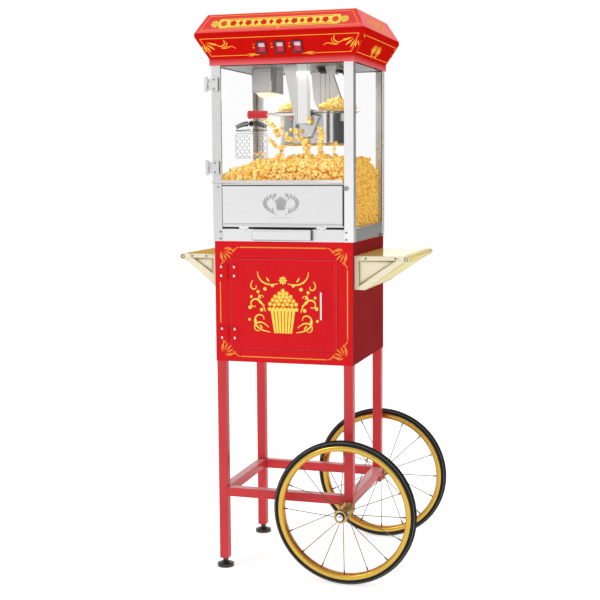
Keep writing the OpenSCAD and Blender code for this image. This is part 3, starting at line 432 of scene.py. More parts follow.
class Paint(Bunch):
    """Brush work gathered into one thin mesh. Flat points are (u, v) in metres on a Face."""

    def __init__(self, face, proud):
        super().__init__()
        self.face, self.proud = face, proud

    def lay(self, flat, faces):
        """Adds a shape 2 micrometres over the last, so that crossing strokes don't share a plane."""
        self.proud += 2e-6
        self.add(self.face.at(flat, self.proud), faces)

    def stroke(self, line, widths):
        """A brush line of changing width: each point gives two edge points, half a width to each side."""
        ahead = np.gradient(line, axis=0)
        ahead /= np.linalg.norm(ahead, axis=1)[:, None] + 1e-12
        across = np.stack([-ahead[:, 1], ahead[:, 0]], 1) * (np.broadcast_to(widths, len(line)) / 2)[:, None]
        n = len(line)
        faces = [(i, i + 1, n + i + 1, n + i) for i in range(n - 1)]
        self.lay(np.concatenate([line - across, line + across]), faces)

    def patch(self, outline):
        """A filled shape, convex or seen whole from its middle."""
        n = len(outline)
        self.lay(np.vstack([outline, outline.mean(0)]), [(i, (i + 1) % n, n) for i in range(n)])


# ---------------------------------------------------------------- finishes
front_red = enamel("red enamel", (0.725, 0.0125, 0.0185), (0.68, 0.010, 0.016))
# The cabinet's sides take the front's red, painted darker as the shade on them.
side_red_shaded = enamel("dark red enamel", (0.34, 0.027, 0.030), (0.31, 0.023, 0.026), 0.38, 0.0, 0.0)
# A paler painted sheen on the top faces of legs and stretchers.
leg_red = enamel("leg red", (0.66, 0.050, 0.058), (0.58, 0.042, 0.048), 0.30, 0.10, 0.12, (0.72, 0.40, 0.42))
white_paint = enamel("white enamel", (0.88, 0.88, 0.87), (0.84, 0.84, 0.83), 0.25, 0.2)
gold_paint = polished("gold paint", (0.64, 0.42, 0.075), 0.20)
# A darker gold, painted as the shade along the rim's inner edge.
gold_shade = polished("gold paint, painted shade", (0.60, 0.27, 0.03), 0.24)
spoke_metal = brushed("spoke steel", (0.15, 0.135, 0.085), (0.11, 0.095, 0.06), 0.38, 1)
# A painted highlight on the front of the posts at the right, and less metal at the rear.
post_steel = brushed("bright steel, upright", grey(0.80), grey(0.74), 0.26, 2, front_highlight=0.99)
# Faces to the right painted darker, as their shade.
wide_steel = brushed("bright steel, crosswise", grey(0.86), grey(0.80), 0.32, 0, side=0.42)
deep_steel = brushed("bright steel, front to back", grey(0.82), grey(0.75), 0.30, 1)
# The ceiling is painted this dark as the shade under the canopy; the motor's core shares this dark steel.
dull_steel_and_shade = brushed("dull steel and painted ceiling shade", grey(0.20), grey(0.15), 0.36, 1)
zinc = brushed("grey steel", (0.42, 0.42, 0.41), grey(0.30), 0.34, 1, 500.0)
# Faces to the right painted darker as shade, and a painted glow on what stands at the rear.
arm_steel = brushed("bright steel, shaded", (0.74, 0.72, 0.71), (0.66, 0.64, 0.63), 0.30, 2,
                    side=0.6, rear_lit=0.26)
# A painted glow on the kettle's faces to the left.
mirror_steel = polished("polished steel", grey(0.82), left_lit=0.36)
chrome = polished("polished steel, bright", grey(0.88), 0.05)
brass = brushed("brass", (0.62, 0.45, 0.20), (0.50, 0.34, 0.13), 0.26, 1, 300.0)
alloy = brushed("cast alloy", (0.60, 0.60, 0.58), (0.48, 0.48, 0.47), 0.40, 1, 260.0)
rubber = moulded("rubber", (0.018, 0.018, 0.020), 0.55)
tyre_rubber = moulded("tyre", grey(0.008), 0.50, 500.0, 0.00015, gloss=0.15)
foot_rubber = moulded("foot rubber", (0.012, 0.012, 0.013), 0.26, gloss=0.6)
bezel_plastic = moulded("bezel", (0.055, 0.008, 0.016), 0.30, gloss=0.4)
# A grey painted highlight on the tyre's shoulders.
tyre_sheen = moulded("tyre, painted highlight", grey(0.16), 0.40)
black_plastic = moulded("black plastic", (0.014, 0.014, 0.015), 0.36)
grip_red = moulded("grip", (0.60, 0.016, 0.030), 0.24, 200.0, 0.00003, 0.5)
clear = pane_glass("clear pane")

FOOT_Z = CANOPY_LOW[2]
BAND_Z, LIP_Z = FOOT_Z + 0.0182, FOOT_Z + 0.0860  # top of the upright band, foot of the roof slopes


def canopy_finish():
    """Red enamel with painted light: deeper red under the lip, and paler painted highlights where roof and
    band take the light, most at the right.

    The paler share is a ramp of height on roof and band, plus a ramp of how far the roof faces right.
    """
    s = Shader("canopy red")
    height = s.where("Z")
    roof = s.ramp(height, LIP_Z - 0.001, LIP_Z + 0.002)
    on_roof = s.ramp(height, LIP_Z, LIP_Z + 0.016, 0.62, 0.24)
    to_right = s.ramp(s.facing("X"), 0.1, 0.5, 0.0, 0.75)
    on_band = s.ramp(height, BAND_Z, FOOT_Z, 0.0, 0.7)
    pale = s.math("MAXIMUM", s.math("MULTIPLY", s.math("ADD", on_roof, to_right), roof), on_band)
    tint = s.mix(s.spread(s.noise(5.0, 4.0), 0.0, 1.0), (0.62, 0.008, 0.0055), (0.575, 0.006, 0.004))
    tint = s.mix(roof, tint, (0.80, 0.010, 0.010))
    tint = s.mix(pale, tint, (1.0, 0.235, 0.25))
    level = s.spread(s.noise(38.0, 6.0, roughness=0.7), 0.26, 0.36)
    return s.finish(tint, level, s.peel(), Specular_IOR_Level=0.0)


def shelf_finish(name, near, far, top=None, coat=0.0, gloss=0.10):
    """Cream enamel with painted shade that deepens to yellow from front to rear; top faces have their own
    tone, a painted reflection of the red cabinet, and clear coat.
    """
    s = Shader(name)
    tint = s.mix(s.spread(s.noise(6.0, 4.0), 0.0, 0.25), near, scaled(near, 0.94))
    tint = s.mix(s.ramp(s.where("Y"), -0.16, 0.15), tint, far)
    up = s.ramp(s.facing("Z"), 0.8, 0.98)
    fixed = {"Coat_Weight": s.math("MULTIPLY", up, coat), "Coat_Roughness": 0.10, "Specular_IOR_Level": gloss}
    return s.finish(s.mix(up, tint, top or near), s.spread(s.noise(38.0, 6.0), 0.28, 0.4), s.peel(), **fixed)


def rocker_finish():
    """Clear red rocker: its upper half, which leans to the sky, has a milky painted highlight."""
    s = Shader("rocker red")
    low, high = box("rocker_stir")
    # painted pale highlight on the upper half
    upper = s.spread(s.ramp(s.where("Z"), low[2], high[2]), 0.0, 0.75, 0.50, 0.60)
    grain = s.noise(300.0, 3.0)
    tint = s.mix(s.spread(grain, 0.0, 0.2), (0.66, 0.008, 0.045), (0.54, 0.005, 0.03))
    tint = s.mix(upper, tint, (0.97, 0.74, 0.76))
    return s.finish(tint, 0.16, s.bump(grain, 0.00002, 0.3), Coat_Weight=0.15, Coat_Roughness=0.05)


canopy_red = canopy_finish()
# Tops painted with a reflection of the red cabinet; the left shelf's copy is painted as shaded.
shelf_cream = shelf_finish("shelf cream", (0.74, 0.66, 0.26), (0.74, 0.62, 0.17), (1.0, 0.85, 0.19), 0.80)
shelf_shaded = shelf_finish("shelf cream, shaded", (0.99, 0.94, 0.68), (0.99, 0.92, 0.58), (0.78, 0.48, 0.12),
                            gloss=0.0)
roll_cream = shelf_finish("shelf roll cream", (0.92, 0.78, 0.30), (0.90, 0.74, 0.24))
end_cream = shelf_finish("shelf end cream", (0.90, 0.83, 0.62), (0.90, 0.78, 0.30))
rocker_red = rocker_finish()
lamp_glow = glow("lamp lens", (1.0, 0.90, 0.66), 0.52)
# The gold ink has a painted glow of its own.
ink_gold = enamel("gold ink", (0.98, 0.50, 0.055), (0.94, 0.44, 0.05), 0.34, 0.0, 0.0, lit=0.10)
ink_lining = enamel("lining ink", (0.95, 0.40, 0.075), (0.90, 0.33, 0.06), 0.34, 0.0, 0.0)
ink_orange = enamel("orange ink", (0.93, 0.27, 0.05), (0.86, 0.22, 0.04), 0.34, 0.0, 0.0)
ink_yellow = enamel("yellow ink", (1.0, 0.80, 0.13), (0.98, 0.72, 0.09), 0.34, 0.2)
# Grey ink for printed lines, and for lines of painted shade at folds and edges.
ink_grey = enamel("grey ink and painted shade", grey(0.36), grey(0.30), 0.5)
etch_grey = enamel("etched steel", grey(0.50), grey(0.42), 0.5)
# Dark ink for the printed leaves, and for painted shade at folds, gaps and edges.
ink_dark = enamel("dark ink and painted shade", grey(0.035), grey(0.05), 0.6)
# A lighter red, painted as the highlight along the door's turned edge.
ink_edge_highlight = enamel("light red, painted edge highlight", (0.88, 0.09, 0.09), (0.82, 0.06, 0.06), 0.3)
ink_tan = enamel("tan shade", (0.36, 0.28, 0.12), (0.30, 0.22, 0.09), 0.5)
ink_red = enamel("red ink", (0.78, 0.02, 0.012), (0.70, 0.012, 0.010), 0.34, 0.2)

FINISHES = {
    front_red: "cabinet_front cabinet_floor cabinet_top cabinet_door cabinet_hinges cabinet_door_leaves",
    canopy_red: "canopy",
    side_red_shaded: "cabinet_walls",
    leg_red: "left_legs right_legs stretchers",
    shelf_cream: "shelf_right",
    shelf_shaded: "shelf_left",
    end_cream: "shelf_ends",
    white_paint: "gear_cover",
    gold_paint: "rim_front rim_rear",
    post_steel: "corner_posts glass_door_leaves glass_door_hinges",
    wide_steel: "serving_flap flap_hinges kernel_drawer base_rails lid_left lid_right",
    deep_steel: "popcorn_deck sifter_grate",
    arm_steel: "hanger_arms lamp_housing",
    dull_steel_and_shade: "ceiling_plate",
    zinc: "axle fasteners heating_ring gear_motor",
    mirror_steel: "kettle_skirt popping_pan",
    chrome: "door_pull handle_rod",
    spoke_metal: "spokes_front spokes_rear",
    brass: "hub_front hub_rear",
    alloy: "drive_shaft cross_shaft crossbar agitator",
    foot_rubber: "foot_front foot_rear",
    tyre_rubber: "tyre_front tyre_rear",
    bezel_plastic: "switch_bezels",
    black_plastic: "kettle_lead",
    rocker_red: "rocker_heat rocker_stir rocker_lamp",
    grip_red: "handle_grip",
    clear: "fixed_panes glass_door",
    lamp_glow: "lamp_lens",
}
for finish, names in FINISHES.items():
    for name in names.split():
        materials = NODES[name].data.materials
        materials.clear()
        materials.append(finish)


# ---------------------------------------------------------------- floor, lights, surroundings
def make_floor():
    """A pale floor, a little lit of its own."""
    mesh = bpy.data.meshes.new("floor")
    mesh.from_pydata([(-14, -14, 0), (14, -14, 0), (14, 14, 0), (-14, 14, 0)], [], [(0, 1, 2, 3)])
    floor = bpy.data.objects.new("floor", mesh)
    bpy.context.collection.objects.link(floor)
    s = Shader("floor")
    tone = s.mix(s.spread(s.noise(1.5, 3.0), 0.0, 1.0), grey(0.86), grey(0.84))
    mesh.materials.append(s.finish(tone, 0.65, Emission_Color=(1.0, 1.0, 1.0, 1.0), Emission_Strength=0.58))


def make_world():
    """A world that is white to the camera and graded like a studio tent elsewhere.

    Diffuse rays see it brighter upwards. Reflections see it darker behind, with a dark card at each side
    and a bright one at the rear left. All of it falls off to the right.
    """
    world = bpy.data.worlds.new("studio")
    bpy.context.scene.world = world
    s = Nodes(world)
    way = s.node("TexCoord").outputs["Generated"]
    across, ahead, height = (s.along(way, axis) for axis in "XYZ")
    rays = s.node("LightPath").outputs

    mirrored = s.math("ADD", s.ramp(ahead, -0.5, 0.6, 0.76, 0.32), s.ramp(height, 0.2, 1.0, 0.0, 0.3))
    cards = s.math("MULTIPLY", s.ramp(across, 0.80, 0.90, 1.0, 0.24), s.ramp(across, -0.9, -0.97, 1.0, 0.45))
    rear_left = s.math("MULTIPLY", s.ramp(across, 0.0, -0.12, 0.0, 0.9), s.ramp(ahead, 0.7, 0.85))
    mirrored = s.math("ADD", s.math("MULTIPLY", mirrored, cards), rear_left)
    spread = s.ramp(height, -0.2, 0.9, 0.42, 0.66)
    level = s.node("Mix", {0: rays["Is Glossy Ray"], 2: spread, 3: mirrored}).outputs[0]
    level = s.math("MULTIPLY", level, s.ramp(across, -0.1, 0.9, 1.0, 0.50))
    tent, white = (s.node("Background", {"Color": (1.0, 1.0, 1.0, 1.0), "Strength": strength}).outputs[0]
                   for strength in (level, 1.0))
    seen = s.node("MixShader", {0: rays["Is Camera Ray"], 1: tent, 2: white}).outputs[0]
    s.node("OutputWorld", {0: seen})


def area_light(name, place, target, size, power, colour=(1, 1, 1)):
    """A square lamp; only those over a metre wide show to the camera and in reflections."""
    data = bpy.data.lights.new(name, "AREA")
    data.shape, data.size, data.energy, data.color = "SQUARE", size, power, colour
    lamp = bpy.data.objects.new(name, data)
    lamp.location = place
    lamp.visible_camera = lamp.visible_glossy = size > 1
    lamp.rotation_euler = (Vector(target) - Vector(place)).to_track_quat("-Z", "Y").to_euler()
    bpy.context.collection.objects.link(lamp)


make_floor()
make_world()
aim = (MIDDLE_X, 0, 0.9)
area_light("front key", (MIDDLE_X - 2.3, -3.0, 3.2), aim, 1.6, 42)
area_light("front fill", (MIDDLE_X + 2.6, -2.4, 1.6), aim, 1.8, 6)
area_light("top", (MIDDLE_X, 0.3, 3.6), aim, 2.0, 12)
area_light("top right", (MIDDLE_X + 1.5, 0.3, 3.5), (MIDDLE_X, 0, 1.4), 1.2, 16)
area_light("over the bin", (MIDDLE_X, -0.04, FOOT_Z - 0.02), (MIDDLE_X, -0.04, 0), 0.26, 0.60, (1, 0.95, 0.86))

bpy.context.scene.view_settings.view_transform = "Standard"
bpy.context.scene.view_settings.look = "None"


# ---------------------------------------------------------------- painted ornament
UNDER, OVER = 0, 1
BOTH = (UNDER, OVER)
SIDES = (("left", -1), ("right", 1))


class Ornament:
    """Two coats of the same brush work on one face: a wide coat below and a narrow one on top of it."""

    def __init__(self, face, proud=(0.00020, 0.00032)):
        self.coats = [Paint(face, height) for height in proud]
        self.move()

    def move(self, corner=(0, 0), su=1, sv=1):
        """Later shapes are drawn from corner, mirrored where su or sv is -1."""
        self.corner, self.sign = np.asarray(corner, float), np.array([su, sv], float)
        self.turn = slice(None, None, -1 if su * sv < 0 else 1)

    def laid(self, flat):
        """Flat points from the corner, in the other order where mirrored, so that faces still look out."""
        return (self.corner + np.asarray(flat, float) * self.sign)[self.turn]

    def stroke(self, line, widths, coats=BOTH):
        """A brush line, 1.2 mm wider in the under coat."""
        line = self.laid(line)
        widths = np.broadcast_to(widths, len(line))[self.turn]
        for k in coats:
            self.coats[k].stroke(line, widths + (0.0012 if k == UNDER else 0.0))

    def patch(self, outline, coats=BOTH):
        """A filled shape whose points stand 0.7 mm further from its middle in the under coat."""
        outline = self.laid(outline)
        middle = outline.mean(0)
        grow = outline - middle
        size = np.linalg.norm(grow, axis=1)[:, None] + 1e-9
        for k in coats:
            self.coats[k].patch(middle + grow * (1 + (0.0007 if k == UNDER else 0.0) / size))

    def dot(self, centre, radius, coats=BOTH):
        """A round dot of 16 corners."""
        a = angles(16)
        self.patch(np.asarray(centre) + radius * np.stack([np.cos(a), np.sin(a)], 1), coats)

    def leaf(self, root, heading, length, width, coats=BOTH, belly=0.75):
        """A pointed leaf of half-width w/2 sin(pi t^belly): past 1, it is widest near its tip."""
        t = np.linspace(0, 1, 12)
        along = np.array([math.cos(heading), math.sin(heading)])
        half = np.outer(width / 2 * np.sin(math.pi * t**belly), (-along[1], along[0]))
        line = np.asarray(root) + np.outer(t * length, along)
        self.patch(np.vstack([line - half, (line + half)[::-1]]), coats)

    def leaves(self, rows, coats=BOTH):
        for row in rows:
            self.leaf(*row, coats)

    def scroll(self, start, heading, length, turn, curl=2.0, width=0.003, coats=BOTH):
        """A tapering scroll whose heading is heading + turn t^curl."""
        t = np.linspace(0, 1, 36)
        angle = heading + turn * t**curl
        step = length / (len(t) - 1)
        line = np.asarray(start) + np.cumsum(np.stack([np.cos(angle), np.sin(angle)], 1) * step, axis=0)
        self.stroke(line, width * (0.2 + 0.8 * np.sin(math.pi * (0.08 + 0.84 * t))), coats)

    def scrolls(self, rows, coats=BOTH):
        for row in rows:
            self.scroll(*row, coats)

    def puff(self, centre, radius, twist=0.0, coats=BOTH):
        """A popped kernel seen flat: r (0.76 + 0.24 |cos(2.5 a + twist)|)."""
        a = np.linspace(0, 2 * math.pi, 40, endpoint=False)
        r = radius * (0.76 + 0.24 * np.abs(np.cos(2.5 * a + twist)))
        self.patch(np.asarray(centre) + np.stack([r * np.cos(a), r * np.sin(a)], 1), coats)

    def rosette(self, centre, radius, petals, width):
        """Petals from 0.28 of the radius outwards, round a dot."""
        inner = 0.28
        for a in angles(petals):
            root = np.asarray(centre) + radius * inner * np.array([math.cos(a), math.sin(a)])
            self.leaf(root, a, radius * (1 - inner), width)
        self.dot(centre, radius * inner * 0.7)

    def line(self, start, end, width=0.002, coats=BOTH):
        """A straight brush line, through eight points start (1 - t) + end t."""
        t = np.linspace(0, 1, 8)[:, None]
        self.stroke(np.asarray(start) * (1 - t) + np.asarray(end) * t, width, coats)

    def lines(self, rows, coats=BOTH):
        for row in rows:
            self.line(*row, coats)

    def sweep(self, points, widths, shares):
        """A smooth brush line through points in millimetres, as wide as widths at shares of its length."""
        line = smooth_path(np.array(points) / 1000, 8)
        self.stroke(line, np.interp(np.linspace(0, 1, len(line)), shares, widths))

    def make(self, name, body, slot, under, over):
        for coat, finish, part in zip(self.coats, (under, over), ("edge", "fill")):
            if coat.count:
                coat.make(f"{name}_{part}", body, slot, finish, False)


def corner_spray(art, corner, su, sv, size):
    """A corner piece: five leaves fanned about the corner's middle line, a whip and a curl along each side."""
    art.move(corner, su, sv)
    for k, reach in enumerate((0.36, 0.46, 0.52, 0.46, 0.36)):
        a = math.radians(45 + (k - 2) * 19)
        root = (size * (0.06 + 0.20 * math.cos(a)), size * (0.06 + 0.20 * math.sin(a)))
        art.leaf(root, a, reach * size, size * 0.058, belly=1.5)
    whip = [(0.22, 0.09), (0.36, 0.03), (0.52, 0.05), (0.64, 0.13), (0.78, 0.12), (0.88, 0.03), (1.0, 0.0)]
    curl = [(0.62, 0.20), (0.70, 0.22), (0.77, 0.18)]
    for swap in (1, -1):
        for points, wide in ((whip, 0.034), (curl, 0.030)):
            line = smooth_path(np.array(points)[:, ::swap] * size, 8)
            art.stroke(line, wide * size * (0.3 + 0.7 * np.sin(math.pi * np.linspace(0.06, 0.94, len(line)))))
        art.dot((1.08 * size, 0.0)[::swap], size * 0.022)
    art.move()


def cabinet_lining():
    """The cabinet's front: a lined border with a spray in each corner, open beside the hinges."""
    art = Ornament(Face((MIDDLE_X, CABINET_LOW[1], 0)))
    half, bottom, top, gap = 0.1830, 0.6120, 0.9170, 0.062
    for u, su in ((-half, 1), (half, -1)):
        for v, sv in ((bottom, 1), (top, -1)):
            corner_spray(art, (u, v), su, sv, 0.056)
    low, high = box("cabinet_hinges")
    art.lines([((gap - half, v), (half - gap, v), 0.0020) for v in (bottom, top)]
              + [((half, bottom + gap), (half, top - gap), 0.0022),
                 ((-half, low[2] + 0.048), (-half, high[2] - 0.048), 0.0022)])
    art.make("cabinet_lining", "frame", "red enamel", ink_orange, ink_lining)


def door_picture():
    """The door's picture: a striped tub of popped corn between scrolls, with a rosette above."""
    art = Ornament(Face((MIDDLE_X, box("cabinet_door")[0][1], 0.757)))
    for k in range(7):
        foot, head = -0.026 + k * 0.0076, -0.036 + k * 0.0105
        art.patch([(foot, -0.076), (foot + 0.0058, -0.076), (head + 0.0080, -0.012), (head, -0.012)])
    for k in range(8):
        art.dot((-0.0385 + k * 0.011, -0.0095), 0.0052)
    for count, v, pitch in ((7, 0.0035, 0.0125), (6, 0.0145, 0.0118), (5, 0.0245, 0.0110), (3, 0.0335, 0.0105),
                            (1, 0.0415, 0.0100)):
        for k in range(count):
            at = ((k - (count - 1) / 2) * pitch, v + 0.0012 * math.cos(3.1 * k + 40 * v))
            for radius, coat in ((0.0064, UNDER), (0.0052, OVER)):
                art.puff(at, radius, k * 1.3 + v * 90, (coat,))
    puffs = ((52, 46), (72, 38), (92, 24), (96, -6), (30, 56), (98, -40), (62, -12))
    for side in (-1, 1):
        art.move((0, 0), side)
        art.scrolls((
            ((0.034, -0.074), 0.15, 0.105, 4.6, 2.2, 0.0042),
            ((0.040, -0.062), 0.75, 0.075, -4.4, 2.0, 0.0036),
            ((0.050, -0.020), 1.25, 0.088, -5.0, 2.4, 0.0040),
            ((0.052, 0.000), 0.35, 0.052, 4.2, 2.0, 0.0030),
            ((0.012, 0.062), -0.30, 0.080, 1.9, 1.4, 0.0036),
            ((0.086, 0.070), -0.9, 0.046, -4.4, 1.8, 0.0032),
        ))
        for at, heading in (((0.060, -0.064), 0.9), ((0.078, -0.050), 1.4), ((0.064, 0.018), 1.1),
                            ((0.040, 0.066), 1.0)):
            art.leaf(at, heading, 0.015, 0.0045)
        for k, (u, v) in enumerate(puffs):
            art.puff((u / 1000, v / 1000), 0.0052 - 0.0006 * (k % 3), k * 2.1)
    art.move()
    art.rosette((0, 0.070), 0.0125, 8, 0.0050)
    art.make("door_picture", "cart_door", "red enamel", ink_orange, ink_yellow)


def door_edge():
    """The door's turned edge: a painted highlight line round its face, and a second one inside the closing
    edge.
    """
    low, high = box("cabinet_door")
    art = Ornament(Face((MIDDLE_X, low[1], 0)))
    half, foot, head = 0.1524, low[2] + 0.0006, high[2] - 0.0006
    art.lines((
        ((-half, foot), (-half, head), 0.0012), ((half, foot), (half, head), 0.0012),
        ((-half, head), (half, head), 0.0014), ((-half, foot), (half, foot), 0.0010),
        ((half - 0.0055, foot + 0.004), (half - 0.0055, head - 0.004), 0.0008),
    ), (OVER,))
    art.make("door_edge", "cart_door", "red enamel", ink_edge_highlight, ink_edge_highlight)


cabinet_lining()
door_picture()
door_edge()


# ---------------------------------------------------------------- canopy lining
# half-widths along X and Y at the foot of the skirt, at the lip and round the roof's flat top
BAND = (0.2047, 0.1881)
LIP = (CANOPY_HIGH[0] - MIDDLE_X, CANOPY_HIGH[1])
ROOF = (0.2086, 0.1819)
SKIRT_RISE = FOOT_Z + 0.0760 - BAND_Z
ROOF_RISE = CANOPY_HIGH[2] - LIP_Z
SKIRT_V, ROOF_V = math.hypot(SKIRT_RISE, LIP[1] - BAND[1]), math.hypot(ROOF_RISE, LIP[1] - ROOF[1])
WAYS = {"front": (0, -1), "back": (0, 1), "left": (-1, 0), "right": (1, 0)}


def slope(side, low, high, z, rise):
    """A leaning face on one side, from half-widths low at height z to high: u runs along it and v up it."""
    x, y = WAYS[side]
    corner = (MIDDLE_X + x * low[0], y * low[1], z)
    return Face(corner, (-y, x, 0), (x * (high[0] - low[0]), y * (high[1] - low[1]), rise))


def slope_half(side, low, high, tall):
    """A rule for the half-length of a line at v on such a face, 12 mm short of its slanting ends."""
    axis = 0 if side in ("front", "back") else 1
    return lambda v: low[axis] + (high[axis] - low[axis]) * v / tall - 0.012


def skirt_front_end(art, su, half, low_v, high_v):
    """One end of the front's or back's border: lines, a pointed stop short of the switches, a corner piece."""
    stop = 0.070 if su < 0 else 0.075
    art.move((0, 0), su)
    art.line((half(low_v), low_v), (half(high_v), high_v), 0.0009)
    art.line((stop + 0.020, low_v), (half(low_v), low_v), 0.0009)
    art.leaves((
        ((stop - 0.014, low_v), 0.0, 0.038, 0.0022), ((stop - 0.002, low_v + 0.0028), 0.02, 0.026, 0.0018),
        ((stop + 0.004, low_v - 0.0024), -0.02, 0.018, 0.0014),
    ))
    # from the upper outer corner, u runs to the middle and v down: a fan of leaves, a hook and a whip
    art.move((su * half(high_v), high_v), -su, -1)
    for k, (angle, reach) in enumerate(((16, 0.034), (35, 0.032), (54, 0.028), (73, 0.022), (92, 0.015))):
        a = math.radians(angle)
        root = (0.005 + 0.0105 * math.cos(a), 0.0065 + 0.0105 * math.sin(a))
        art.leaf(root, a, reach, 0.0043 - 0.0003 * k, belly=1.5)
    art.sweep([(40, 13), (48, 19), (58, 22), (67, 18), (70, 10), (67, 4)],
              (0.0008, 0.0018, 0.0030, 0.0012), (0, 0.3, 0.7, 1))
    art.sweep([(60, 26), (68, 25), (75, 19), (76, 11)], (0.0006, 0.0020, 0.0010), (0, 0.5, 1))
    art.sweep([(58, 27), (70, 28), (82, 24), (92, 24), (100, 29)], (0.0006, 0.0018, 0.0007), (0, 0.4, 1))


def skirt_side_end(art, su, half, low_v, high_v):
    """One end of a side's border: a slanting line, a sprig at its top, a fan over a scroll at the middle."""
    art.move((0, 0), su)
    art.line((half(low_v), low_v), (half(high_v * 0.72), high_v * 0.72), 0.0009)
    for k in range(3):
        art.leaf((half(high_v) - 0.020 + 0.0075 * k, high_v - 0.009 + 0.0022 * k), 1.2, 0.010, 0.0028)
    art.move((0, SKIRT_V * 0.20), su)
    for angle, reach in ((82, 0.026), (62, 0.031), (45, 0.038), (31, 0.044), (19, 0.044)):
        a = math.radians(angle)
        art.leaf((0.006 + 0.006 * math.cos(a), 0.001 + 0.004 * math.sin(a)), a, reach, 0.0058, belly=1.4)
    art.scroll((0.006, -0.001), -0.1, 0.046, 2.6, 2.2, 0.0032)


def skirt_lining(side):
    """Border and end pieces on a leaning face below the lip."""
    art = Ornament(slope(side, BAND, LIP, BAND_Z, SKIRT_RISE))
    half = slope_half(side, BAND, LIP, SKIRT_V)
    low_v, high_v = 0.0075, SKIRT_V - 0.0065
    if side in ("front", "back"):
        art.line((-half(high_v), high_v), (half(high_v), high_v), 0.0009)
        end = skirt_front_end
    else:
        art.line((-half(low_v), low_v), (half(low_v), low_v), 0.0009)
        art.line((-half(high_v) + 0.024, high_v), (half(high_v) - 0.024, high_v), 0.0009)
        end = skirt_side_end
    for su in (-1, 1):
        end(art, su, half, low_v, high_v)
    art.make(f"canopy_skirt_lining_{side}", "frame", "red enamel", ink_orange, ink_gold)


def roof_lining(side):
    """Two fine lines along a roof slope and two up its slanting ends; on the sides a garland of scrolls."""
    art = Ornament(slope(side, LIP, ROOF, LIP_Z, ROOF_RISE))
    half = slope_half(side, LIP, ROOF, ROOF_V)
    low_v, high_v = 0.0085, ROOF_V - 0.0060
    art.lines([((-half(v), v), (half(v), v), 0.0008) for v in (low_v, high_v)]
              + [((su * half(low_v), low_v), (su * half(high_v), high_v), 0.0008) for su in (-1, 1)])
    if side in ("front", "back"):
        art.rosette((0, low_v), 0.0055, 6, 0.0026)
    else:
        for su in (-1, 1):
            art.move((0, ROOF_V * 0.47), su)
            art.scrolls((
                ((0.004, 0.0), 0.5, 0.085, -5.2, 2.0, 0.0046),
                ((0.020, -0.003), -0.3, 0.080, 4.8, 2.2, 0.0040),
                ((0.062, 0.002), 0.25, 0.070, -4.2, 2.0, 0.0036),
                ((0.080, -0.004), -0.2, 0.056, 4.0, 2.0, 0.0030),
            ))
            for at, heading in (((0.030, 0.006), 1.0), ((0.050, -0.008), -0.9), ((0.074, 0.007), 0.9),
                                ((0.104, -0.004), -0.5)):
                art.leaf(at, heading, 0.014, 0.0044)
        art.move((0, ROOF_V * 0.47))
        art.rosette((0, 0), 0.011, 8, 0.0042)
    art.make(f"canopy_roof_lining_{side}", "frame", "red enamel", ink_orange, ink_gold)


def name_board():
    """The yellow name board is left without words: a row of puffs and diamonds, and a daisy at each end."""
    face = slope("front", LIP, ROOF, LIP_Z, ROOF_RISE)
    middle_v, half, tall, round_end = 0.0280, 0.1720, 0.0152, 0.008
    board = Ornament(face)
    a = np.linspace(-math.pi / 2, math.pi / 2, 14)
    end = np.stack([half - round_end + round_end * np.cos(a), tall * np.sin(a)], 1)
    board.patch(np.vstack([end, -end]) + (0, middle_v))
    board.make("board", "frame", "red enamel", ink_orange, ink_yellow)
    marks = Ornament(face, (0.00045, 0.00055))
    for k in range(-6, 7):
        marks.move((k * 0.0215, middle_v))
        if k % 2 == 0:
            marks.puff((0, 0), 0.0090, 0.6 * k)
        else:
            marks.patch([(-0.0062, 0), (0, -0.0088), (0.0062, 0), (0, 0.0088)])
    marks.move()
    marks.lines([((-0.148, v), (0.148, v), 0.0007) for v in (middle_v - 0.0122, middle_v + 0.0122)])
    for su in (-1, 1):
        marks.move((su * 0.1560, middle_v), su)
        marks.rosette((0, 0), 0.0105, 9, 0.0032)
    marks.make("board_marks", "frame", "red enamel", ink_orange, ink_red)
    for where, su in SIDES:
        daisy = Ornament(face, (0.00065, 0.00075))
        daisy.move((su * 0.1815, middle_v - 0.001), su)
        daisy.rosette((0, 0), 0.0130, 10, 0.0036)
        daisy.make(f"board_daisy_{where}", "frame", "red enamel", ink_orange, ink_yellow)


def switch_marks():
    """The painted marks beside the switches are a plain dot and dash."""
    art = Ornament(slope("front", BAND, LIP, BAND_Z, SKIRT_RISE))
    for x in (-0.0495, 0.0017, 0.0510):
        art.dot((x - 0.0225, SKIRT_V * 0.44), 0.0022)
        art.line((x - 0.0250, SKIRT_V * 0.58), (x - 0.0200, SKIRT_V * 0.58), 0.0012)
    art.make("switch_marks", "frame", "red enamel", ink_orange, ink_orange)


for side in WAYS:
    skirt_lining(side)
    roof_lining(side)
name_board()
switch_marks()


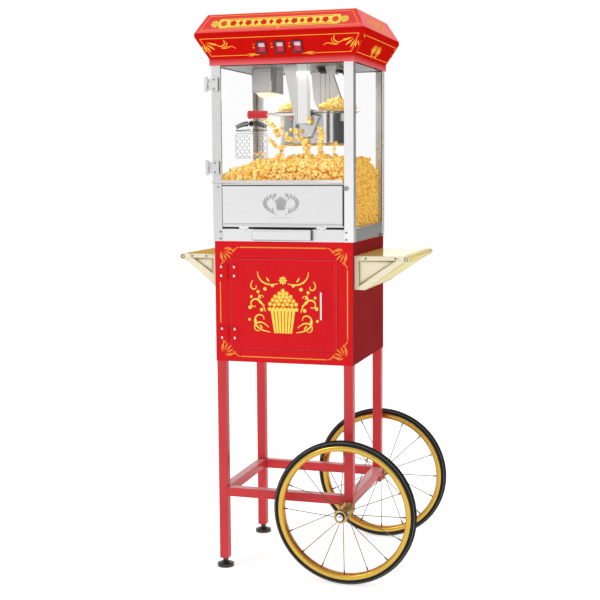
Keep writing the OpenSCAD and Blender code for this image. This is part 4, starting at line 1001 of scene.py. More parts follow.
# ---------------------------------------------------------------- popped corn
def popcorn_finish():
    """Butter yellow with pale crowns, hearts darker by browning and by painted shade, a little translucent,
    each kernel its own tone.

    Near the right pane it is deeper, with brown patches. All of it has a painted glow of its own.
    """
    s = Shader("popcorn")
    own, toast_and_shade = (s.node("Attribute", attribute_name=name).outputs["Fac"] for name in ("tone", "toast_and_shade"))
    tint = s.mix(own, (1.0, 0.67, 0.13), (1.0, 0.93, 0.46))
    tint = s.mix(s.spread(s.noise(160.0, 4.0), 0.0, 0.4), tint, (1.0, 0.66, 0.12))
    # darker towards each kernel's heart, by browning and by painted shade
    tint = s.mix(toast_and_shade, tint, (0.58, 0.23, 0.03))
    beside = s.ramp(s.where("X"), 0.120, 0.135, 0.0, 0.6)
    tint = s.mix(beside, tint, (0.82, 0.50, 0.015))
    patchy = s.math("MULTIPLY", beside, s.spread(s.noise(120.0, 3.0), 0.0, 1.0, 0.50, 0.62))
    tint = s.mix(patchy, tint, (0.50, 0.24, 0.01))
    tint = s.mix(s.spread(s.noise(260.0, 2.0), 0.0, 0.8, 0.61, 0.68), tint, (0.26, 0.08, 0.01))
    rough = s.noise(900.0, 3.0)
    normal = s.bump(s.noise(330.0, 3.0), 0.0012, 0.6, s.bump(rough, 0.0003, 0.4))
    return s.finish(tint, s.spread(rough, 0.45, 0.65), normal, Subsurface_Weight=0.25, Subsurface_Scale=0.004,
                    Specular_IOR_Level=0.35, Emission_Color=tint, Emission_Strength=0.27)


popcorn = popcorn_finish()
GOLDEN = (1 + math.sqrt(5)) / 2
ICO_POINTS = np.array(
    [(s1, s2 * GOLDEN, 0) for s1 in (-1, 1) for s2 in (-1, 1)]
    + [(0, s1, s2 * GOLDEN) for s1 in (-1, 1) for s2 in (-1, 1)]
    + [(s2 * GOLDEN, 0, s1) for s1 in (-1, 1) for s2 in (-1, 1)]
) / math.hypot(1, GOLDEN)


def ico_faces():
    """The icosahedron's 20 faces, found as its triples of nearest corners and wound outwards."""
    near = np.linalg.norm(ICO_POINTS[:, None] - ICO_POINTS[None], axis=2) < 1.1
    faces = []
    for a, b, c in combinations(range(12), 3):
        if near[a, b] and near[b, c] and near[a, c]:
            p, q, r = ICO_POINTS[[a, b, c]]
            faces.append((a, b, c) if np.dot(np.cross(q - p, r - p), p + q + r) > 0 else (a, c, b))
    return np.array(faces)


LOBES = 4
KERNEL_POINTS = 12 * LOBES
KERNEL_FACES = np.concatenate([ico_faces() + 12 * k for k in range(LOBES)])
rng = np.random.default_rng(1520)


def unit_rows(rows):
    """Each row divided by its own length."""
    return rows / np.linalg.norm(rows, axis=1)[:, None]


def kernel_shape():
    """A popped kernel about 1 across: lobes thrown round a small heart.

    Its darkening is (0.43 - r) / 0.20, where r is the distance from the heart: browning in part, painted shade
    in part.
    """
    points, tone = [], []
    for k, w in enumerate(unit_rows(rng.normal(size=(LOBES, 3)))):
        size = rng.uniform(0.25, 0.32) if k else 0.26
        centre = w * (0.29 if k else 0.04)
        stretch = 1 + 0.25 * rng.normal(size=3).clip(-1, 1)
        wobble = 1 + 0.20 * rng.normal(size=(12, 1)).clip(-1.5, 1.5)
        points.append(centre + ICO_POINTS * size * stretch * wobble)
        tone.append(np.full(12, rng.uniform(-0.3, 0.3)))
    points = np.concatenate(points)
    return points, np.clip((0.43 - np.linalg.norm(points, axis=1)) / 0.20, 0, 1), np.concatenate(tone)


SHAPES = [kernel_shape() for _ in range(14)]


def random_turns(count):
    """Uniform random rotations from unit quaternions."""
    w, x, y, z = unit_rows(rng.normal(size=(count, 4))).T
    rows = [
        [1 - 2 * (y * y + z * z), 2 * (x * y - z * w), 2 * (x * z + y * w)],
        [2 * (x * y + z * w), 1 - 2 * (x * x + z * z), 2 * (y * z - x * w)],
        [2 * (x * z - y * w), 2 * (y * z + x * w), 1 - 2 * (x * x + y * y)],
    ]
    return np.moveaxis(np.array(rows), 2, 0)


def add_tones(piece, tone, toast_and_shade):
    """Keeps each point's tone and its darkening by browning and painted shade as attributes, which the
    popcorn's finish reads.
    """
    for name, values in (("tone", tone), ("toast_and_shade", toast_and_shade)):
        piece.data.attributes.new(name, "FLOAT", "POINT").data.foreach_set("value", values.astype(np.float32))


def lay_kernels(name, body, places, sizes):
    """One mesh of kernels at places, each turned at random and with its own share of tone and of browning and
    painted shade.
    """
    count = len(places)
    turns = random_turns(count)
    picked = [SHAPES[i] for i in rng.integers(0, len(SHAPES), count)]
    tone = np.repeat(rng.random(count), KERNEL_POINTS) + np.concatenate([tone for _, _, tone in picked])
    toast_and_shade_share = np.repeat(rng.uniform(0.6, 1.0, count), KERNEL_POINTS)
    toast_and_shade = toast_and_shade_share * np.concatenate([toast_and_shade for _, toast_and_shade, _ in picked])
    points = np.concatenate([p + (shape[0] * s) @ t.T for p, s, t, shape in zip(places, sizes, turns, picked)])
    faces = (KERNEL_FACES[None] + KERNEL_POINTS * np.arange(count)[:, None, None]).reshape(-1, 3)
    add_tones(new_piece(name, points, faces, body, "gold paint", popcorn, True), tone.clip(0, 1), toast_and_shade)


# the heap in the bin: its floor is the deck, its walls the panes and the flap
BIN_X, BIN_Y = 0.1895, 0.1720
BIN_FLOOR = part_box("popcorn_deck")[1][2] + 0.0005
MOUNDS = (  # x, y, height and width of each small mound
    (-0.075, -0.08, 0.012, 0.022), (0.020, -0.07, 0.018, 0.026), (0.085, -0.05, 0.020, 0.022),
    (0.165, -0.10, 0.012, 0.03), (0.15, 0.06, 0.014, 0.04),
)


def heap_top(x, y):
    """Height of the heap over the cart's middle: a broad crown with a slope to the left end and small mounds.

    z = 1.095 + 0.056 l^0.6 - 0.030 b^1.5 + the mounds' h exp(-r^2 / 2 w^2) + 0.005 sin(61 x + 2) sin(53 y),
    with l rising over 0.1 m from the left wall and b over 0.15 m towards the back.
    """
    crown = 1.095 + 0.056 * np.clip((x + 0.190) / 0.10, 0, 1) ** 0.6
    crown = crown - 0.030 * np.clip((y - 0.02) / 0.15, 0, 1) ** 1.5
    for mx, my, tall, wide in MOUNDS:
        crown = crown + tall * np.exp(-((x - mx) ** 2 + (y - my) ** 2) / (2 * wide**2))
    return crown + 0.005 * np.sin(61 * x + 2) * np.sin(53 * y)


def heap_core():
    """A closed lump just under the outer kernels, so that no gap between them shows the far side."""
    inset, across, deep = 0.022, 34, 30
    gx, gy = np.meshgrid(np.linspace(-BIN_X + inset, BIN_X - inset, across),
                         np.linspace(-BIN_Y + inset, BIN_Y - inset, deep), indexing="ij")
    top = np.stack([gx + MIDDLE_X, gy, heap_top(gx, gy) - 0.016], -1).reshape(-1, 3)
    base = top.copy()
    base[:, 2] = BIN_FLOOR
    index = np.arange(across * deep).reshape(across, deep)
    cells = np.stack([index[:-1, :-1], index[1:, :-1], index[1:, 1:], index[:-1, 1:]], -1).reshape(-1, 4)
    rim = np.concatenate([index[:, 0], index[-1, 1:], index[-2::-1, -1], index[0, -2:0:-1]])
    next_rim, under = np.roll(rim, -1), across * deep
    walls = np.stack([rim, rim + under, next_rim + under, next_rim], 1)
    faces = np.concatenate([cells, cells[:, [0, 3, 2, 1]] + under, walls])
    made = new_piece("popcorn_core", np.concatenate([top, base]), faces, "frame", "gold paint", popcorn, True)
    # The core's deep tones stand for the painted shade in the gaps between kernels.
    add_tones(made, np.full(2 * under, 0.1), np.full(2 * under, 0.9))


def heap_kernels():
    """Kernels over the crown and behind each pane, on jittered grids about a kernel apart."""
    pitch, size = 0.0116, 0.0160
    edge = size * 0.46  # how near a kernel's middle comes to a wall
    limits = BIN_X - edge, BIN_Y - edge
    xs, ys = (np.arange(-limit, limit + 1e-6, pitch) for limit in limits)
    places = []
    for share, sink in ((1.0, 0.004), (0.35, 0.012)):
        gx, gy = (g.ravel() for g in np.meshgrid(xs, ys))
        gx = np.clip(gx + rng.uniform(-0.006, 0.006, gx.size), -limits[0], limits[0])
        gy = np.clip(gy + rng.uniform(-0.005, 0.005, gy.size), -limits[1], limits[1])
        keep = rng.random(gx.size) < share
        z = heap_top(gx, gy) - sink + rng.uniform(-0.004, 0.005, gx.size)
        places.append(np.stack([gx, gy, z], 1)[keep])
    for walk, along, away in ((0, xs, 1), (1, ys, 0)):  # along X behind front and back, then along Y
        for side, sink, apart in ((s, *layer) for s in (-1, 1) for layer in ((0.0, 1.0), (0.009, 1.25))):
            wall = side * (limits[away] - sink)
            heights = np.arange(BIN_FLOOR + edge + sink * 0.75, 1.18, pitch * apart)
            ga, gz = (g.ravel() for g in np.meshgrid(along, heights))
            ga = np.clip(ga + rng.uniform(-0.005, 0.005, ga.size), -limits[walk], limits[walk])
            gz = np.maximum(gz + rng.uniform(-0.005, 0.005, gz.size), BIN_FLOOR + edge)
            flat = wall - side * rng.uniform(0, 0.004, ga.size)
            x, y = (ga, flat) if walk == 0 else (flat, ga)
            places.append(np.stack([x, y, gz], 1)[gz < heap_top(x, y) - 0.006])
    spots = np.concatenate(places) + (MIDDLE_X, 0, 0)
    sizes = size * rng.uniform(0.85, 1.05, len(spots))
    third = np.digitize(spots[:, 0] - MIDDLE_X, (-0.065, 0.065))
    for k, name in enumerate(("left", "middle", "right")):
        lay_kernels(f"popcorn_{name}", "frame", spots[third == k], sizes[third == k])


def lid_pile(side, middle, spread, tall, count):
    """Kernels heaped on a lid, inside its edges: each lies at a random spot under a cone of height tall."""
    low, high = box(f"lid_{side}")
    lid_top, lid_radius, kernel = 1.2901, 0.106, 0.0180
    places = []
    while len(places) < count:
        u, v = rng.uniform(-1, 1, 2)
        if u * u + v * v > 1:
            continue
        x, y = KETTLE_X + middle[0] + u * spread[0], middle[1] + v * spread[1]
        if not low[0] + 0.006 < x < high[0] - 0.010 or math.hypot(x - KETTLE_X, y) > lid_radius:
            continue
        roof = tall * (1 - math.hypot(u, v))
        places.append((x, y, lid_top + 0.0085 + roof * rng.uniform(0.0, 1.0) ** 0.6))
    sizes = kernel * rng.uniform(0.85, 1.08, count)
    lay_kernels(f"popcorn_on_{side}_lid", f"{side}_lid", np.array(places), sizes)


def falling_popcorn():
    """Popcorn on its way down from the kettle: an arc off the left lid, and spills in front of the kettle.

    Each row says how many kernels lie along a curve, how loosely, and the curve's points in millimetres from
    the cart's middle.
    """
    lines = (
        (13, 0.006, (-92, -40, 1267), (-78, -42, 1261), (-64, -44, 1248), (-55, -46, 1234), (-51, -48, 1222)),
        (3, 0.004, (-14, -126, 1245), (2, -128, 1240), (20, -126, 1238)),
        (6, 0.006, (-6, -128, 1222), (2, -128, 1214), (14, -128, 1210), (24, -128, 1214)),
        (3, 0.005, (68, -152, 1268), (72, -150, 1258)),
        (13, 0.007, (-44, -122, 1206), (-32, -122, 1196), (-20, -122, 1184), (-24, -120, 1172),
         (-32, -120, 1160)),
        (14, 0.009, (48, -124, 1212), (52, -124, 1198), (52, -122, 1182), (50, -120, 1168)),
        (22, 0.005, (93, -124, 1238), (94, -124, 1220), (93, -124, 1200), (93, -122, 1182), (92, -120, 1164)),
        (3, 0.002, (130, -120, 1199), (134, -120, 1170)),
        (2, 0.002, (-100, -110, 1172), (-78, -112, 1176)),
    )
    places = []
    for count, loose, *points in lines:
        line = smooth_path(np.array(points) / 1000, 12)
        at = line[np.linspace(0, len(line) - 1, count).astype(int)]
        places.append(at + rng.uniform(-loose, loose, at.shape))
    spots = np.concatenate(places) + (MIDDLE_X, 0, 0)
    lay_kernels("popcorn_falling", "frame", spots, 0.0170 * rng.uniform(0.8, 1.1, len(spots)))


heap_core()
heap_kernels()
lid_pile("right", (0.066, -0.010), (0.050, 0.085), 0.034, 170)
lid_pile("left", (-0.068, -0.015), (0.034, 0.045), 0.020, 55)
falling_popcorn()


# ---------------------------------------------------------------- screws, caps and beads
class Screws:
    """Domed screw heads on one body, and the dark cross recesses on top of them."""

    def __init__(self):
        self.heads, self.marks = Bunch(), Bunch()

    def head(self, x, y, z, radius, tall, turn=None, direction=OUT):
        """A head whose radius falls off as a quarter circle; a turn in radians gives it a cross."""
        top = np.array((MIDDLE_X + x, y, z))
        dome = [(radius * math.cos(a) * 0.98 + 1e-5, 0.0002 + tall * math.sin(a))
                for a in np.linspace(0, math.pi / 2, 6)]
        self.heads.turned([(radius, 0.0), *dome], top, direction, 20)
        if turn is None:
            return
        u, v, w = frame_of(direction)
        for k, a in enumerate((turn, turn + math.pi / 2)):
            along, across = u * math.cos(a) + v * math.sin(a), v * math.cos(a) - u * math.sin(a)
            proud = w * (tall + 0.00012 + 0.00003 * k)
            corners = [top + along * i * radius * 0.55 + across * j * radius * 0.13 + proud
                       for i, j in ((-1, -1), (1, -1), (1, 1), (-1, 1))]
            self.marks.add(corners, [(0, 1, 2, 3)])

    def make(self, name, body, slot, material, recess=None):
        self.heads.make(name, body, slot, material)
        if recess:
            self.marks.make(recess, body, "black plastic", black_plastic, False)


def mid_box(node):
    """box() with x measured from the cart's middle."""
    return box(node) - np.array((MIDDLE_X, 0, 0))


def rods(name, body, slot, material, *groups, around=8, closed=False):
    """Thin round lines as tubes: each group is a radius and its lines, whose x is from the cart's middle."""
    bunch = Bunch()
    for radius, lines in groups:
        for line in lines:
            bunch.tube([(MIDDLE_X + x, y, z) for x, y, z in line], radius, around, closed)
    bunch.make(name, body, slot, material)


HINGE_PITCH = 0.0125  # from a hinge's middle to each of its screws


def all_screws():
    """Screws on the cabinet's hinges and leaves, the posts' feet, the shelf ends and the window's leaves."""
    low, high = box("cabinet_hinges")
    hinge_zs = (low[2] + 0.0185, high[2] - 0.0185)
    for name, body, x, plate in (("cabinet_hinge_screws", "frame", -0.179, "cabinet_front"),
                                 ("cabinet_leaf_screws", "cart_door", -0.141, "cabinet_door")):
        screws = Screws()
        for z in hinge_zs:
            for dz in (-HINGE_PITCH, HINGE_PITCH):
                screws.head(x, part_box(plate)[0][1] - 0.0031, z + dz, 0.0036, 0.0014, 0.3 + 9 * z)
        screws.make(name, body, "polished steel", chrome, name + "_recess")

    screws = Screws()
    for x in (-0.180, 0.180):
        for z in (0.9405, 0.9595):
            screws.head(x, POST_LOW[1] - 0.0014, z, 0.0033, 0.0012, z * 50)
    for x in (0.230, 0.312, -0.230, -0.272):
        screws.head(x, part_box("shelf_ends")[0][1] - 0.0014, 0.890, 0.0031, 0.0011, x * 9)
    screws.make("front_screws", "frame", "polished steel", zinc, "front_screw_recess")

    screws = Screws()
    leaf_face_y = -0.1927
    for z in (1.136, 1.363):
        for dz in (-HINGE_PITCH, HINGE_PITCH):
            screws.head(-0.191, leaf_face_y, z + dz, 0.0031, 0.0011, z * 7)
    screws.make("window_screws", "window", "polished steel", zinc, "window_screw_recess")


def pane_beads():
    """A narrow bead of rubber where each pane meets its post, inside the posts."""
    low, high = mid_box("fixed_panes")
    rods("pane_beads", "frame", "rubber", rubber, (0.0011, [
        [(x, y, low[2] + 0.008), (x, y, high[2] - 0.004)]
        for x in (low[0] + 0.0036, high[0] - 0.0036) for y in (low[1] + 0.004, high[1] - 0.004)]))


all_screws()
pane_beads()


# ---------------------------------------------------------------- wheels and feet
def wheel_details(end, side):
    """What turns with a wheel, and at its hub what stays on the axle: all hoops about the axle's line."""
    low, high = box(f"tyre_{end}")
    middle, radius = (low + high) / 2, (high[2] - low[2]) / 2
    turns = angles(96)
    ring = np.stack([np.cos(turns), np.zeros(96), np.sin(turns)], 1)
    tread, bead, shade, cap, sheen, seal, nuts = (Bunch() for _ in range(7))
    for dy in (-0.0052, -0.0018, 0.0018, 0.0052):  # four rings on the tyre's round back, 10 mm in radius
        reach = radius - 0.010 + math.sqrt(0.010**2 - dy**2) - 0.0002
        tread.tube(middle + ring * reach + (0, dy, 0), 0.00075, 6, closed=True)

    # a rounded gold bead on both faces of the rim, its inner edge in painted shade, and a painted highlight
    # line on the tyre's shoulders
    for face in (-1, 1):
        bead.hoop(oval(radius - 0.0202, face * 0.0098, 0.0066, 0.0024), middle)
        shade.hoop(oval(radius - 0.0272, face * 0.0098, 0.0010, 0.0009, 8), middle)
        sheen.hoop(oval(radius - 0.0048, face * 0.0087, 0.0007, 0.0004, 8), middle)
    inner, outer, half = radius - 0.0281, radius - 0.0279, 0.0096
    shade.hoop([(inner, -half), (outer, -half), (outer, half), (inner, half)], middle)

    # the hub's dust cap at its outer end, with a rolled lip, and an inner flange ring behind the spokes' heads
    out = middle + (0, side * 0.042, 0)
    cap.hoop([(0.0118, -0.004), (0.0172, -0.004), (0.0180, -0.002), (0.0172, 0.0006), (0.0150, 0.0002),
              (0.0118, 0.0004)], out, 48)
    cap.hoop(oval(0.0168, side * 0.0004, 0.0011, 0.0011, 8), out, 48)
    for face in (-1, 1):
        cap.hoop(oval(0.0187, 0.0, 0.0009, 0.0019, 8), middle + (0, face * 0.034, 0), 48)
    seal.hoop(oval(0.0112, side * 0.0022, 0.0016, 0.0006, 8), out, 40)
    for r, at in ((0.0094, 0.0101), (0.0062, 0.0160)):
        button = [(r, -0.0004), (r, 0.0004), (r * 0.8, 0.0009), (r * 0.3, 0.0012), (1e-4, 0.0012)]
        nuts.turned(button, out + (0, side * at, 0), (0, side, 0), 24)

    wheel = f"wheel_{end}"
    for bunch, part, body, slot, material in (
        (tread, "tread", wheel, "tyre", tyre_rubber), (bead, "rim_bead", wheel, "gold paint", gold_paint),
        (shade, "rim_shade", wheel, "gold paint", gold_shade), (cap, "dust_cap", wheel, "brass", brass),
        (sheen, "tyre_sheen", wheel, "tyre", tyre_sheen),
        (seal, "seal", "frame", "black plastic", black_plastic),
        (nuts, "axle_end", "frame", "polished steel", chrome),
    ):
        bunch.make(f"{end}_wheel_{part}", body, slot, material)


def foot_details(end):
    """A foot's rolled foot and head rims and the domed rings up to its stem: hoops about the stem's line."""
    low, high = box(f"foot_{end}")
    middle, radius = (low + high) / 2 * (1, 1, 0), (high[0] - low[0]) / 2
    rings = Bunch()
    for section in ((radius - 0.0012, 0.0072, 0.0012, 0.0011), (radius - 0.0012, 0.0014, 0.0010, 0.0012),
                    (0.0168, 0.0093, 0.0026, 0.0012), (0.0092, 0.0128, 0.0024, 0.0014)):
        rings.hoop(oval(*section, 10), middle, 48, axis=2)
    rings.make(f"{end}_foot_rims", f"{end}_foot", "rubber", foot_rubber)


wheel_details("front", -1)
wheel_details("rear", 1)
foot_details("front")
foot_details("rear")


# ---------------------------------------------------------------- flap, drawer and shelf ends
FLAP_LOW, FLAP_HIGH = box("serving_flap")
FLAP_FOOT, FLAP_HEAD = FLAP_HIGH[2] - 0.1186, FLAP_HIGH[2]
FLAP_FACE = Face((MIDDLE_X, FLAP_LOW[1], 0))


def flap_folds():
    """Painted fold shades along the flap's lip and foot, and painted shade down its right edge."""
    art = Ornament(FLAP_FACE, (0.00012, 0.00012))
    half = 0.1722
    for v, width, coat in ((FLAP_HEAD - 0.0052, 0.0016, UNDER), (FLAP_FOOT + 0.0088, 0.0010, OVER),
                           (FLAP_FOOT + 0.0052, 0.0006, OVER)):
        art.line((-half, v), (half, v), width, (coat,))
    art.line((half - 0.0004, FLAP_FOOT + 0.004), (half - 0.0004, FLAP_HEAD - 0.006), 0.0020, (UNDER,))
    art.make("flap_folds", "flap", "black plastic", ink_dark, ink_grey)


def flap_garland():
    """An etched garland: two arcs of leaves with scrolls round a small tub of popped corn."""
    art = Ornament(FLAP_FACE, (0.00012, 0.00012))
    middle = (-0.004, (FLAP_FOOT + FLAP_HEAD) / 2 + 0.003)
    for side in (-1, 1):
        art.move(middle, side)
        for k in range(9):
            a = math.radians(-62 + 15.5 * k)
            at = (0.046 * math.cos(a), 0.024 * math.sin(a))
            art.leaves(((at, a + 1.15, 0.012, 0.0044), (at, a + 2.2, 0.009, 0.0036)), (OVER,))
        art.scroll((0.010, -0.0285), 0.2, 0.034, 3.6, 2.0, 0.0018, (OVER,))
        art.scroll((0.008, 0.0275), -0.2, 0.032, -3.6, 2.0, 0.0016, (OVER,))
    art.move(middle)
    for k in range(5):
        foot, head = -0.0100 + k * 0.0043, -0.0136 + k * 0.0058
        art.patch([(foot, -0.016), (foot + 0.0030, -0.016), (head + 0.0042, 0.003), (head, 0.003)], (OVER,))
    for count, v in ((5, 0.0060), (4, 0.0115), (2, 0.0165)):
        for k in range(count):
            art.puff(((k - (count - 1) / 2) * 0.0066, v), 0.0032, k + 9 * v, (OVER,))
    for k in range(-4, 5):
        art.dot((k * 0.0072, -0.0365), 0.0011, (OVER,))
    art.make("flap_garland", "flap", "black plastic", ink_grey, etch_grey)


def flap_gap_shades():
    """Dark rods in the gaps at the flap's sides and under its foot, painted as the shade there."""
    def sides(x):
        return [(x, FLAP_LOW[1] + 0.0040, z) for z in (0.9700, 1.0300, FLAP_HEAD + 0.0006)]

    def foot(deep, z):
        return [(x, FLAP_LOW[1] + deep, z) for x in (-0.1745, 0.0, 0.1745)]

    rods("flap_gap_shades", "frame", "rubber", rubber, (0.0018, [sides(-0.1745), sides(0.1745)]),
         (0.0024, [foot(0.0052, 0.9722)]), (0.0026, [foot(0.0062, 0.9695)]))


def drawer_details():
    """The drawer's turned edges: painted shade lines inside its outline, and a dark rod painted as the shade
    where it meets the rail.
    """
    art = Ornament(Face((MIDDLE_X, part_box("kernel_drawer")[0][1], 0)), (0.00020, 0.0001))
    half, foot, head = 0.0832, 0.9388, 0.9657
    art.lines((
        ((-half, foot), (-half, head), 0.0008), ((-half, foot), (half, foot), 0.0008),
        ((half, foot), (half, head), 0.0012), ((-half, head - 0.0040), (half - 0.001, head - 0.0040), 0.0006),
    ), (OVER,))
    art.make("drawer_shade_lines", "drawer", "black plastic", ink_dark, ink_grey)
    half, foot, head, y = 0.0846, 0.9375, 0.9672, FLAP_LOW[1] - 0.0008
    rods("drawer_gap_shade", "frame", "rubber", rubber,
         (0.0011, [[(-half, y, foot), (half, y, foot), (half, y, head), (-half, y, head)]]), closed=True)


def shelf_end_details():
    """What finishes each shelf.

    On its front end plate: a rolled bead round the sunk panel with its painted shade, and a cap over the
    rolled edge.
    Along the shelf: the roll itself and lines of painted shade beside and under it.
    """
    low, high = box("shelf_ends")
    front, half = low[1], (CABINET_HIGH[0] - CABINET_LOW[0]) / 2
    ends = np.linspace(front + 0.0075, high[1] - 0.0075, 4)
    top_z, band, slant, roll, tip_half, tip_roll = 0.896, 0.012, 0.68, 0.0075, 0.0075, 0.0078
    beads, caps, rolls, shade_lines = (Bunch() for _ in range(4))
    a = np.linspace(-math.pi / 2, math.pi / 2, 12)
    right_end = np.stack([tip_half + tip_roll * np.cos(a), tip_roll * np.sin(a)], 1)
    outline = np.vstack([right_end, -right_end])
    around = len(outline)
    for name, side, reach in (("right", 1, 0.1425), ("left", -1, 0.102)):
        foot_x, edge_x = side * half, MIDDLE_X + side * (half + reach)
        tip = reach - roll - 0.001
        corners = np.array([(band, top_z - band), (tip - 0.020, top_z - band),
                            (band, top_z - band - (tip - 0.020 - band) * slant)])
        art = Ornament(Face((MIDDLE_X, front, 0)))
        art.move((foot_x, 0), side)
        for p, q in zip(corners, np.roll(corners, -1, 0)):
            pull = corners.mean(0) - (p + q) / 2
            pull *= 0.0016 / np.linalg.norm(pull)
            art.line(p * 0.985 + q * 0.015 + pull, q * 0.985 + p * 0.015 + pull, 0.0028, (OVER,))
        art.make(f"shelf_panel_shade_{name}", "frame", "cream enamel", ink_tan, ink_tan)
        post = MIDDLE_X + side * half
        beads.tube([(post + side * x, front - 0.0002, z) for x, z in corners], 0.0015, 8, closed=True)
        beads.tube([(post + side * x, front + 0.0002, top_z - 0.003) for x in (0.003, tip - 0.016)], 0.0012, 8)

        # the cap: a flat-ended oval over the roll and the gap beside it
        middle = np.array([MIDDLE_X + side * (half + reach - tip_half), front, top_z - roll])
        rim = np.stack([outline[:, 0], np.zeros(around), outline[:, 1]], 1)
        caps.tube(middle + rim + (0, -0.0012, 0), 0.0013, 8, closed=True)
        fan = [(k, (k + 1) % around, around) for k in range(around)]
        caps.add(np.vstack([middle + rim, middle]) + (0, -0.0007, 0), fan)

        rolls.tube([(edge_x, y, top_z - roll) for y in ends], roll + 0.0004, 20)
        shade_lines.tube([(edge_x - side * 0.0072, y, top_z - 0.0004) for y in ends], 0.0010, 6)
        shade_lines.tube([(edge_x + side * 0.0036, y, top_z - roll - 0.0070) for y in ends], 0.0009, 6)
        shade_lines.tube([(edge_x + 0.0046 * math.cos(t), front - 0.0016, top_z - roll + 0.0046 * math.sin(t))
                    for t in angles(16)], 0.0010, 6, closed=True)
    shade_lines.tube([(MIDDLE_X + half + 0.0300, y, 0.8043) for y in ends], 0.0009, 6)
    for bunch, name, material in ((rolls, "rolls", roll_cream), (shade_lines, "roll_shade_lines", ink_tan),
                                  (beads, "end_beads", end_cream), (caps, "tip_caps", end_cream)):
        bunch.make(f"shelf_{name}", "frame", "cream enamel", material, bunch is not caps)


# ---------------------------------------------------------------- fine lines and small parts
def gear_details():
    """The motor's core and dark winding under the ceiling, and on the kettle a thicker stay and two bands."""
    x, y, z = 0.094, -0.020, FOOT_Z + 0.003
    sheets = [[(x + end, y - 0.020 + 0.0044 * k, z - 0.004 - 0.0028 * (k % 2)) for end in (-0.036, 0.036)]
              for k in range(9)]
    rods("motor_core", "frame", "grey steel", dull_steel_and_shade, (0.0027, sheets))
    loops = [[(x + side * (0.010 + 0.0030 * k), y + 0.024 * math.cos(t), z - 0.010 + 0.0085 * math.sin(t))
              for t in angles(20)] for side in (-1, 1) for k in range(7)]
    rods("motor_winding", "frame", "black plastic", black_plastic, (0.0017, loops), around=6, closed=True)
    brace = [(11, -106.4, 1282), (34, -112, 1277), (37, -112, 1269), (15, -112, 1221), (2, -107, 1217)]
    sleeve, bands = Bunch(), Bunch()
    sleeve.tube(smooth_path(np.array(brace) / 1000 + (KETTLE_X, 0, 0), 5), 0.0029, 12)
    sleeve.make("kettle_brace_sleeve", "kettle", "grey steel", zinc)
    kettle_radius = 0.1076
    for z, radius in ((1.2000, 0.0011), (1.2845, 0.0012)):
        ring = [(KETTLE_X + kettle_radius * math.cos(t), kettle_radius * math.sin(t), z) for t in angles(64)]
        bands.tube(ring, radius, 8, closed=True)
    bands.make("kettle_bands", "kettle", "grey steel", ink_grey)


def line_details():
    """Fine lines of the machine's sheet metal: rims, folds and lips that its plain boxes leave out, and lines
    of painted shade and highlight along some edges.
    """
    y = 0.1396
    # a dark line painted as the shade along the rear arm's slanting flange edge
    rods("rear_arm_edge_shade", "frame", "bright steel", ink_dark,
         (0.0013, [[(0.0562, y, 1.4120), (0.0842, y, 1.3300), (0.0842, y, 1.3010)]]))
    rods("rear_arm_ribs", "frame", "bright steel", ink_grey,
         (0.0006, [[(x, y + 0.0002, 1.4120), (x, y + 0.0002, 1.3050)] for x in (0.018, 0.034, 0.046)]))

    low, high = mid_box("gear_cover")
    left, right, y = low[0] + 0.0024, high[0] - 0.0024, low[1] + 0.0001
    foot, head = low[2] + 0.001, high[2] - 0.001
    folds = [[(x, y, foot), (x, y, head)] for x in (left, right)] + [[(left, y, foot), (right, y, foot)]]
    rods("gear_cover_folds", "frame", "grey steel", ink_grey, (0.0007, folds))

    left, right, face, foot, head = -0.133, -0.076, -0.040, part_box("lamp_housing")[0][2], FOOT_Z
    # a bright rod painted as the highlight on the lamp box's front right edge
    rods("lamp_box_edge_highlight", "frame", "polished steel", chrome,
         (0.0009, [[(right, face, foot + 0.0005), (right, face, head)]]))
    round_it = [[(left, face, z), (right, face, z), (right, 0.072, z)] for z in (head - 0.0075, foot + 0.0030)]
    upright = [[(x, y, foot), (x, y, head)] for x, y in
               ((left + 0.0015, face), (right, -0.030), (right, 0.010), (right, 0.045))]
    rods("lamp_box_lines", "frame", "grey steel", ink_grey, (0.0005, upright[:1] + round_it + upright[1:]))

    # a dark band painted as the shade round the foot of the ceiling
    x, y, z = 0.1965, 0.1775, FOOT_Z + 0.0004
    rods("ceiling_shade_band", "frame", "black plastic", ink_dark,
         (0.0021, [[(-x, -y, z), (-x, y, z), (x, y, z), (x, -y, z), (-x, -y, z)]]))

    low, high = mid_box("glass_door")
    rods("window_lip", "window", "polished steel", post_steel,
         (0.0010, [[(x, low[1] + 0.0013, low[2] - 0.0026) for x in (low[0] + 0.001, high[0] - 0.001)]]))

    # On each rail end: a bright line painted as the highlight on the fold, a grey line of painted shade under
    # it, and a grey line at the foot.
    low, high = mid_box("base_rails")
    for name, z, material, radius in (("fold", 0.9700, chrome, 0.0008), ("shade", 0.9655, ink_grey, 0.0009),
                                      ("foot", 0.9352, ink_grey, 0.0008)):
        lines = [[(x, low[1] + 0.006, z), (x, high[1] - 0.006, z)] for x in (low[0], high[0])]
        rods(f"rail_{name}", "frame", "grey steel", material, (radius, lines))


def cabinet_rivets():
    """Rivets down the cabinet's back edges and in the corners of its sides."""
    low, high = box("cabinet_walls")
    rivets = Screws()
    for x in (-0.186, 0.186):
        for k in range(6):
            rivets.head(x, high[1], low[2] + 0.022 + k * 0.058, 0.0030, 0.0010, direction=(0, 1, 0))
    for side in (-1, 1):
        for y in (-0.150, 0.150):
            for z in (low[2] + 0.020, high[2] - 0.020):
                rivets.head(side * 0.198, y, z, 0.0028, 0.0009, direction=(side, 0, 0))
    rivets.make("cabinet_rivets", "frame", "red enamel", side_red_shaded)


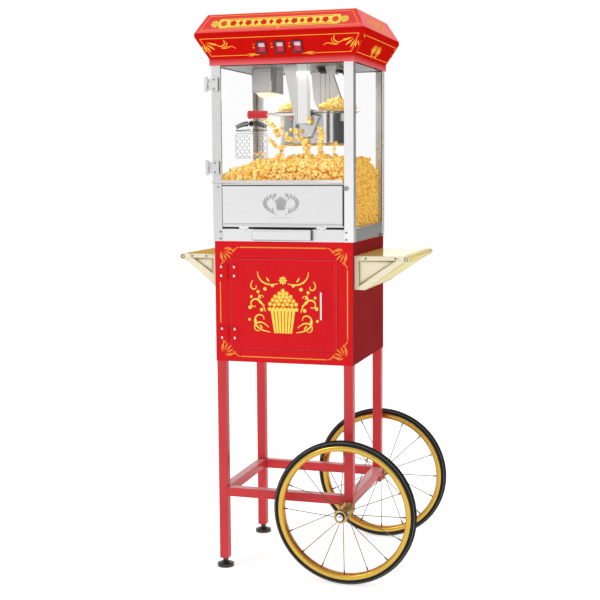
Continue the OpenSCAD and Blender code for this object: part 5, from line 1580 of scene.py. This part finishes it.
def window_print():
    """A printed garland on the window's left: dark leaves round a flower over a fine-lined panel of sprigs."""
    art = Ornament(Face((MIDDLE_X - 0.085, box("glass_door")[0][1] + 0.0019, 1.2145)), (0.00015, 0.00015))
    art.rosette((0, 0.040), 0.0085, 8, 0.0034)
    for side in (-1, 1):
        art.move((0, 0), side)
        for k in range(7):
            at = (0.0085 + 0.0052 * k, 0.0395 - 0.00022 * k * k)
            for turn, reach in ((0.95, 0.0098 - 0.0004 * k), (-1.05, 0.0092 - 0.0004 * k)):
                art.leaf(at, turn - 0.06 * k, reach, 0.0034, (UNDER,))
        for k in range(6):
            art.leaf((0.0035 + 0.0072 * k, 0.0232 - 0.0002 * k), -0.04 * k, 0.0062, 0.0026, (UNDER,))
            art.dot((0.0020 + 0.0072 * k, 0.0182), 0.0009, (UNDER,))
        for inset, width in ((0.0, 0.0012), (0.0030, 0.0007)):
            u, top, foot = 0.046 - inset, 0.0130 - inset, -0.0530 + inset
            for start, end in (((0, top), (u, top)), ((u, top), (u, foot)), ((u, foot), (0, foot))):
                art.line(start, end, width, (OVER,))
        for row in range(7):
            for k in range(6):
                at = (0.0040 + k * 0.0066, 0.0047 - row * 0.0088)
                art.leaf(at, 0.7 if (row + k) % 2 else -0.5, 0.0066, 0.0028, (OVER,))
    art.make("window_print", "window", "black plastic", ink_dark, ink_grey)


gear_details()
line_details()
cabinet_rivets()
window_print()
flap_folds()
flap_garland()
flap_gap_shades()
drawer_details()
shelf_end_details()


# ---------------------------------------------------------------- the kettle's lead
def kettle_lead():
    """A jacketed lead on the part's route, given in millimetres from the cart's middle."""
    route = [
        (123.7, -60, 1400), (131, -60.5, 1399), (138, -61, 1395), (144.5, -62, 1388), (150, -63, 1377),
        (154, -63.5, 1362), (156.5, -63.5, 1346), (157.5, -63, 1330), (158, -62.5, 1314), (158, -62, 1300),
        (157.5, -61.7, 1290), (156.8, -61.4, 1283), (155.2, -60.7, 1276.5), (152.6, -59.2, 1272.2),
        (149.42, -57.4, 1272.2),
    ]
    line = smooth_path(np.array(route) / 1000 + (MIDDLE_X, 0, 0), 6)
    made = new_piece("kettle_lead_jacket", *tube(line, 0.0035, 14), None, "black plastic", black_plastic, True)
    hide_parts("kettle_lead")
    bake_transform(made)


kettle_lead()


# ---------------------------------------------------------------- softened CAD edges
def soften(node, width):
    """Rounds a CAD node's edges that are sharper than 35 degrees by a bevel, with its flat faces kept flat."""
    weld = NODES[node].modifiers.new("weld", "WELD")
    weld.merge_threshold = 1e-5
    edge = NODES[node].modifiers.new("edge", "BEVEL")
    edge.width, edge.segments, edge.limit_method = width, 3, "ANGLE"
    edge.angle_limit, edge.harden_normals = math.radians(35), True


SOFTENED = {
    0.0003: "cabinet_hinges cabinet_door_leaves glass_door_leaves",
    0.0004: "glass_door_hinges hanger_arms rocker_heat rocker_stir rocker_lamp lid_left lid_right",
    0.0005: "serving_flap corner_posts kernel_drawer lamp_housing",
    0.0006: "cabinet_front switch_bezels shelf_right shelf_left cabinet_walls gear_cover",
    0.0008: "shelf_ends",
    0.0010: "cabinet_door",
    0.0012: "canopy left_legs right_legs stretchers handle_grip",
}
for width, names in SOFTENED.items():
    for name in names.split():
        soften(name, width)
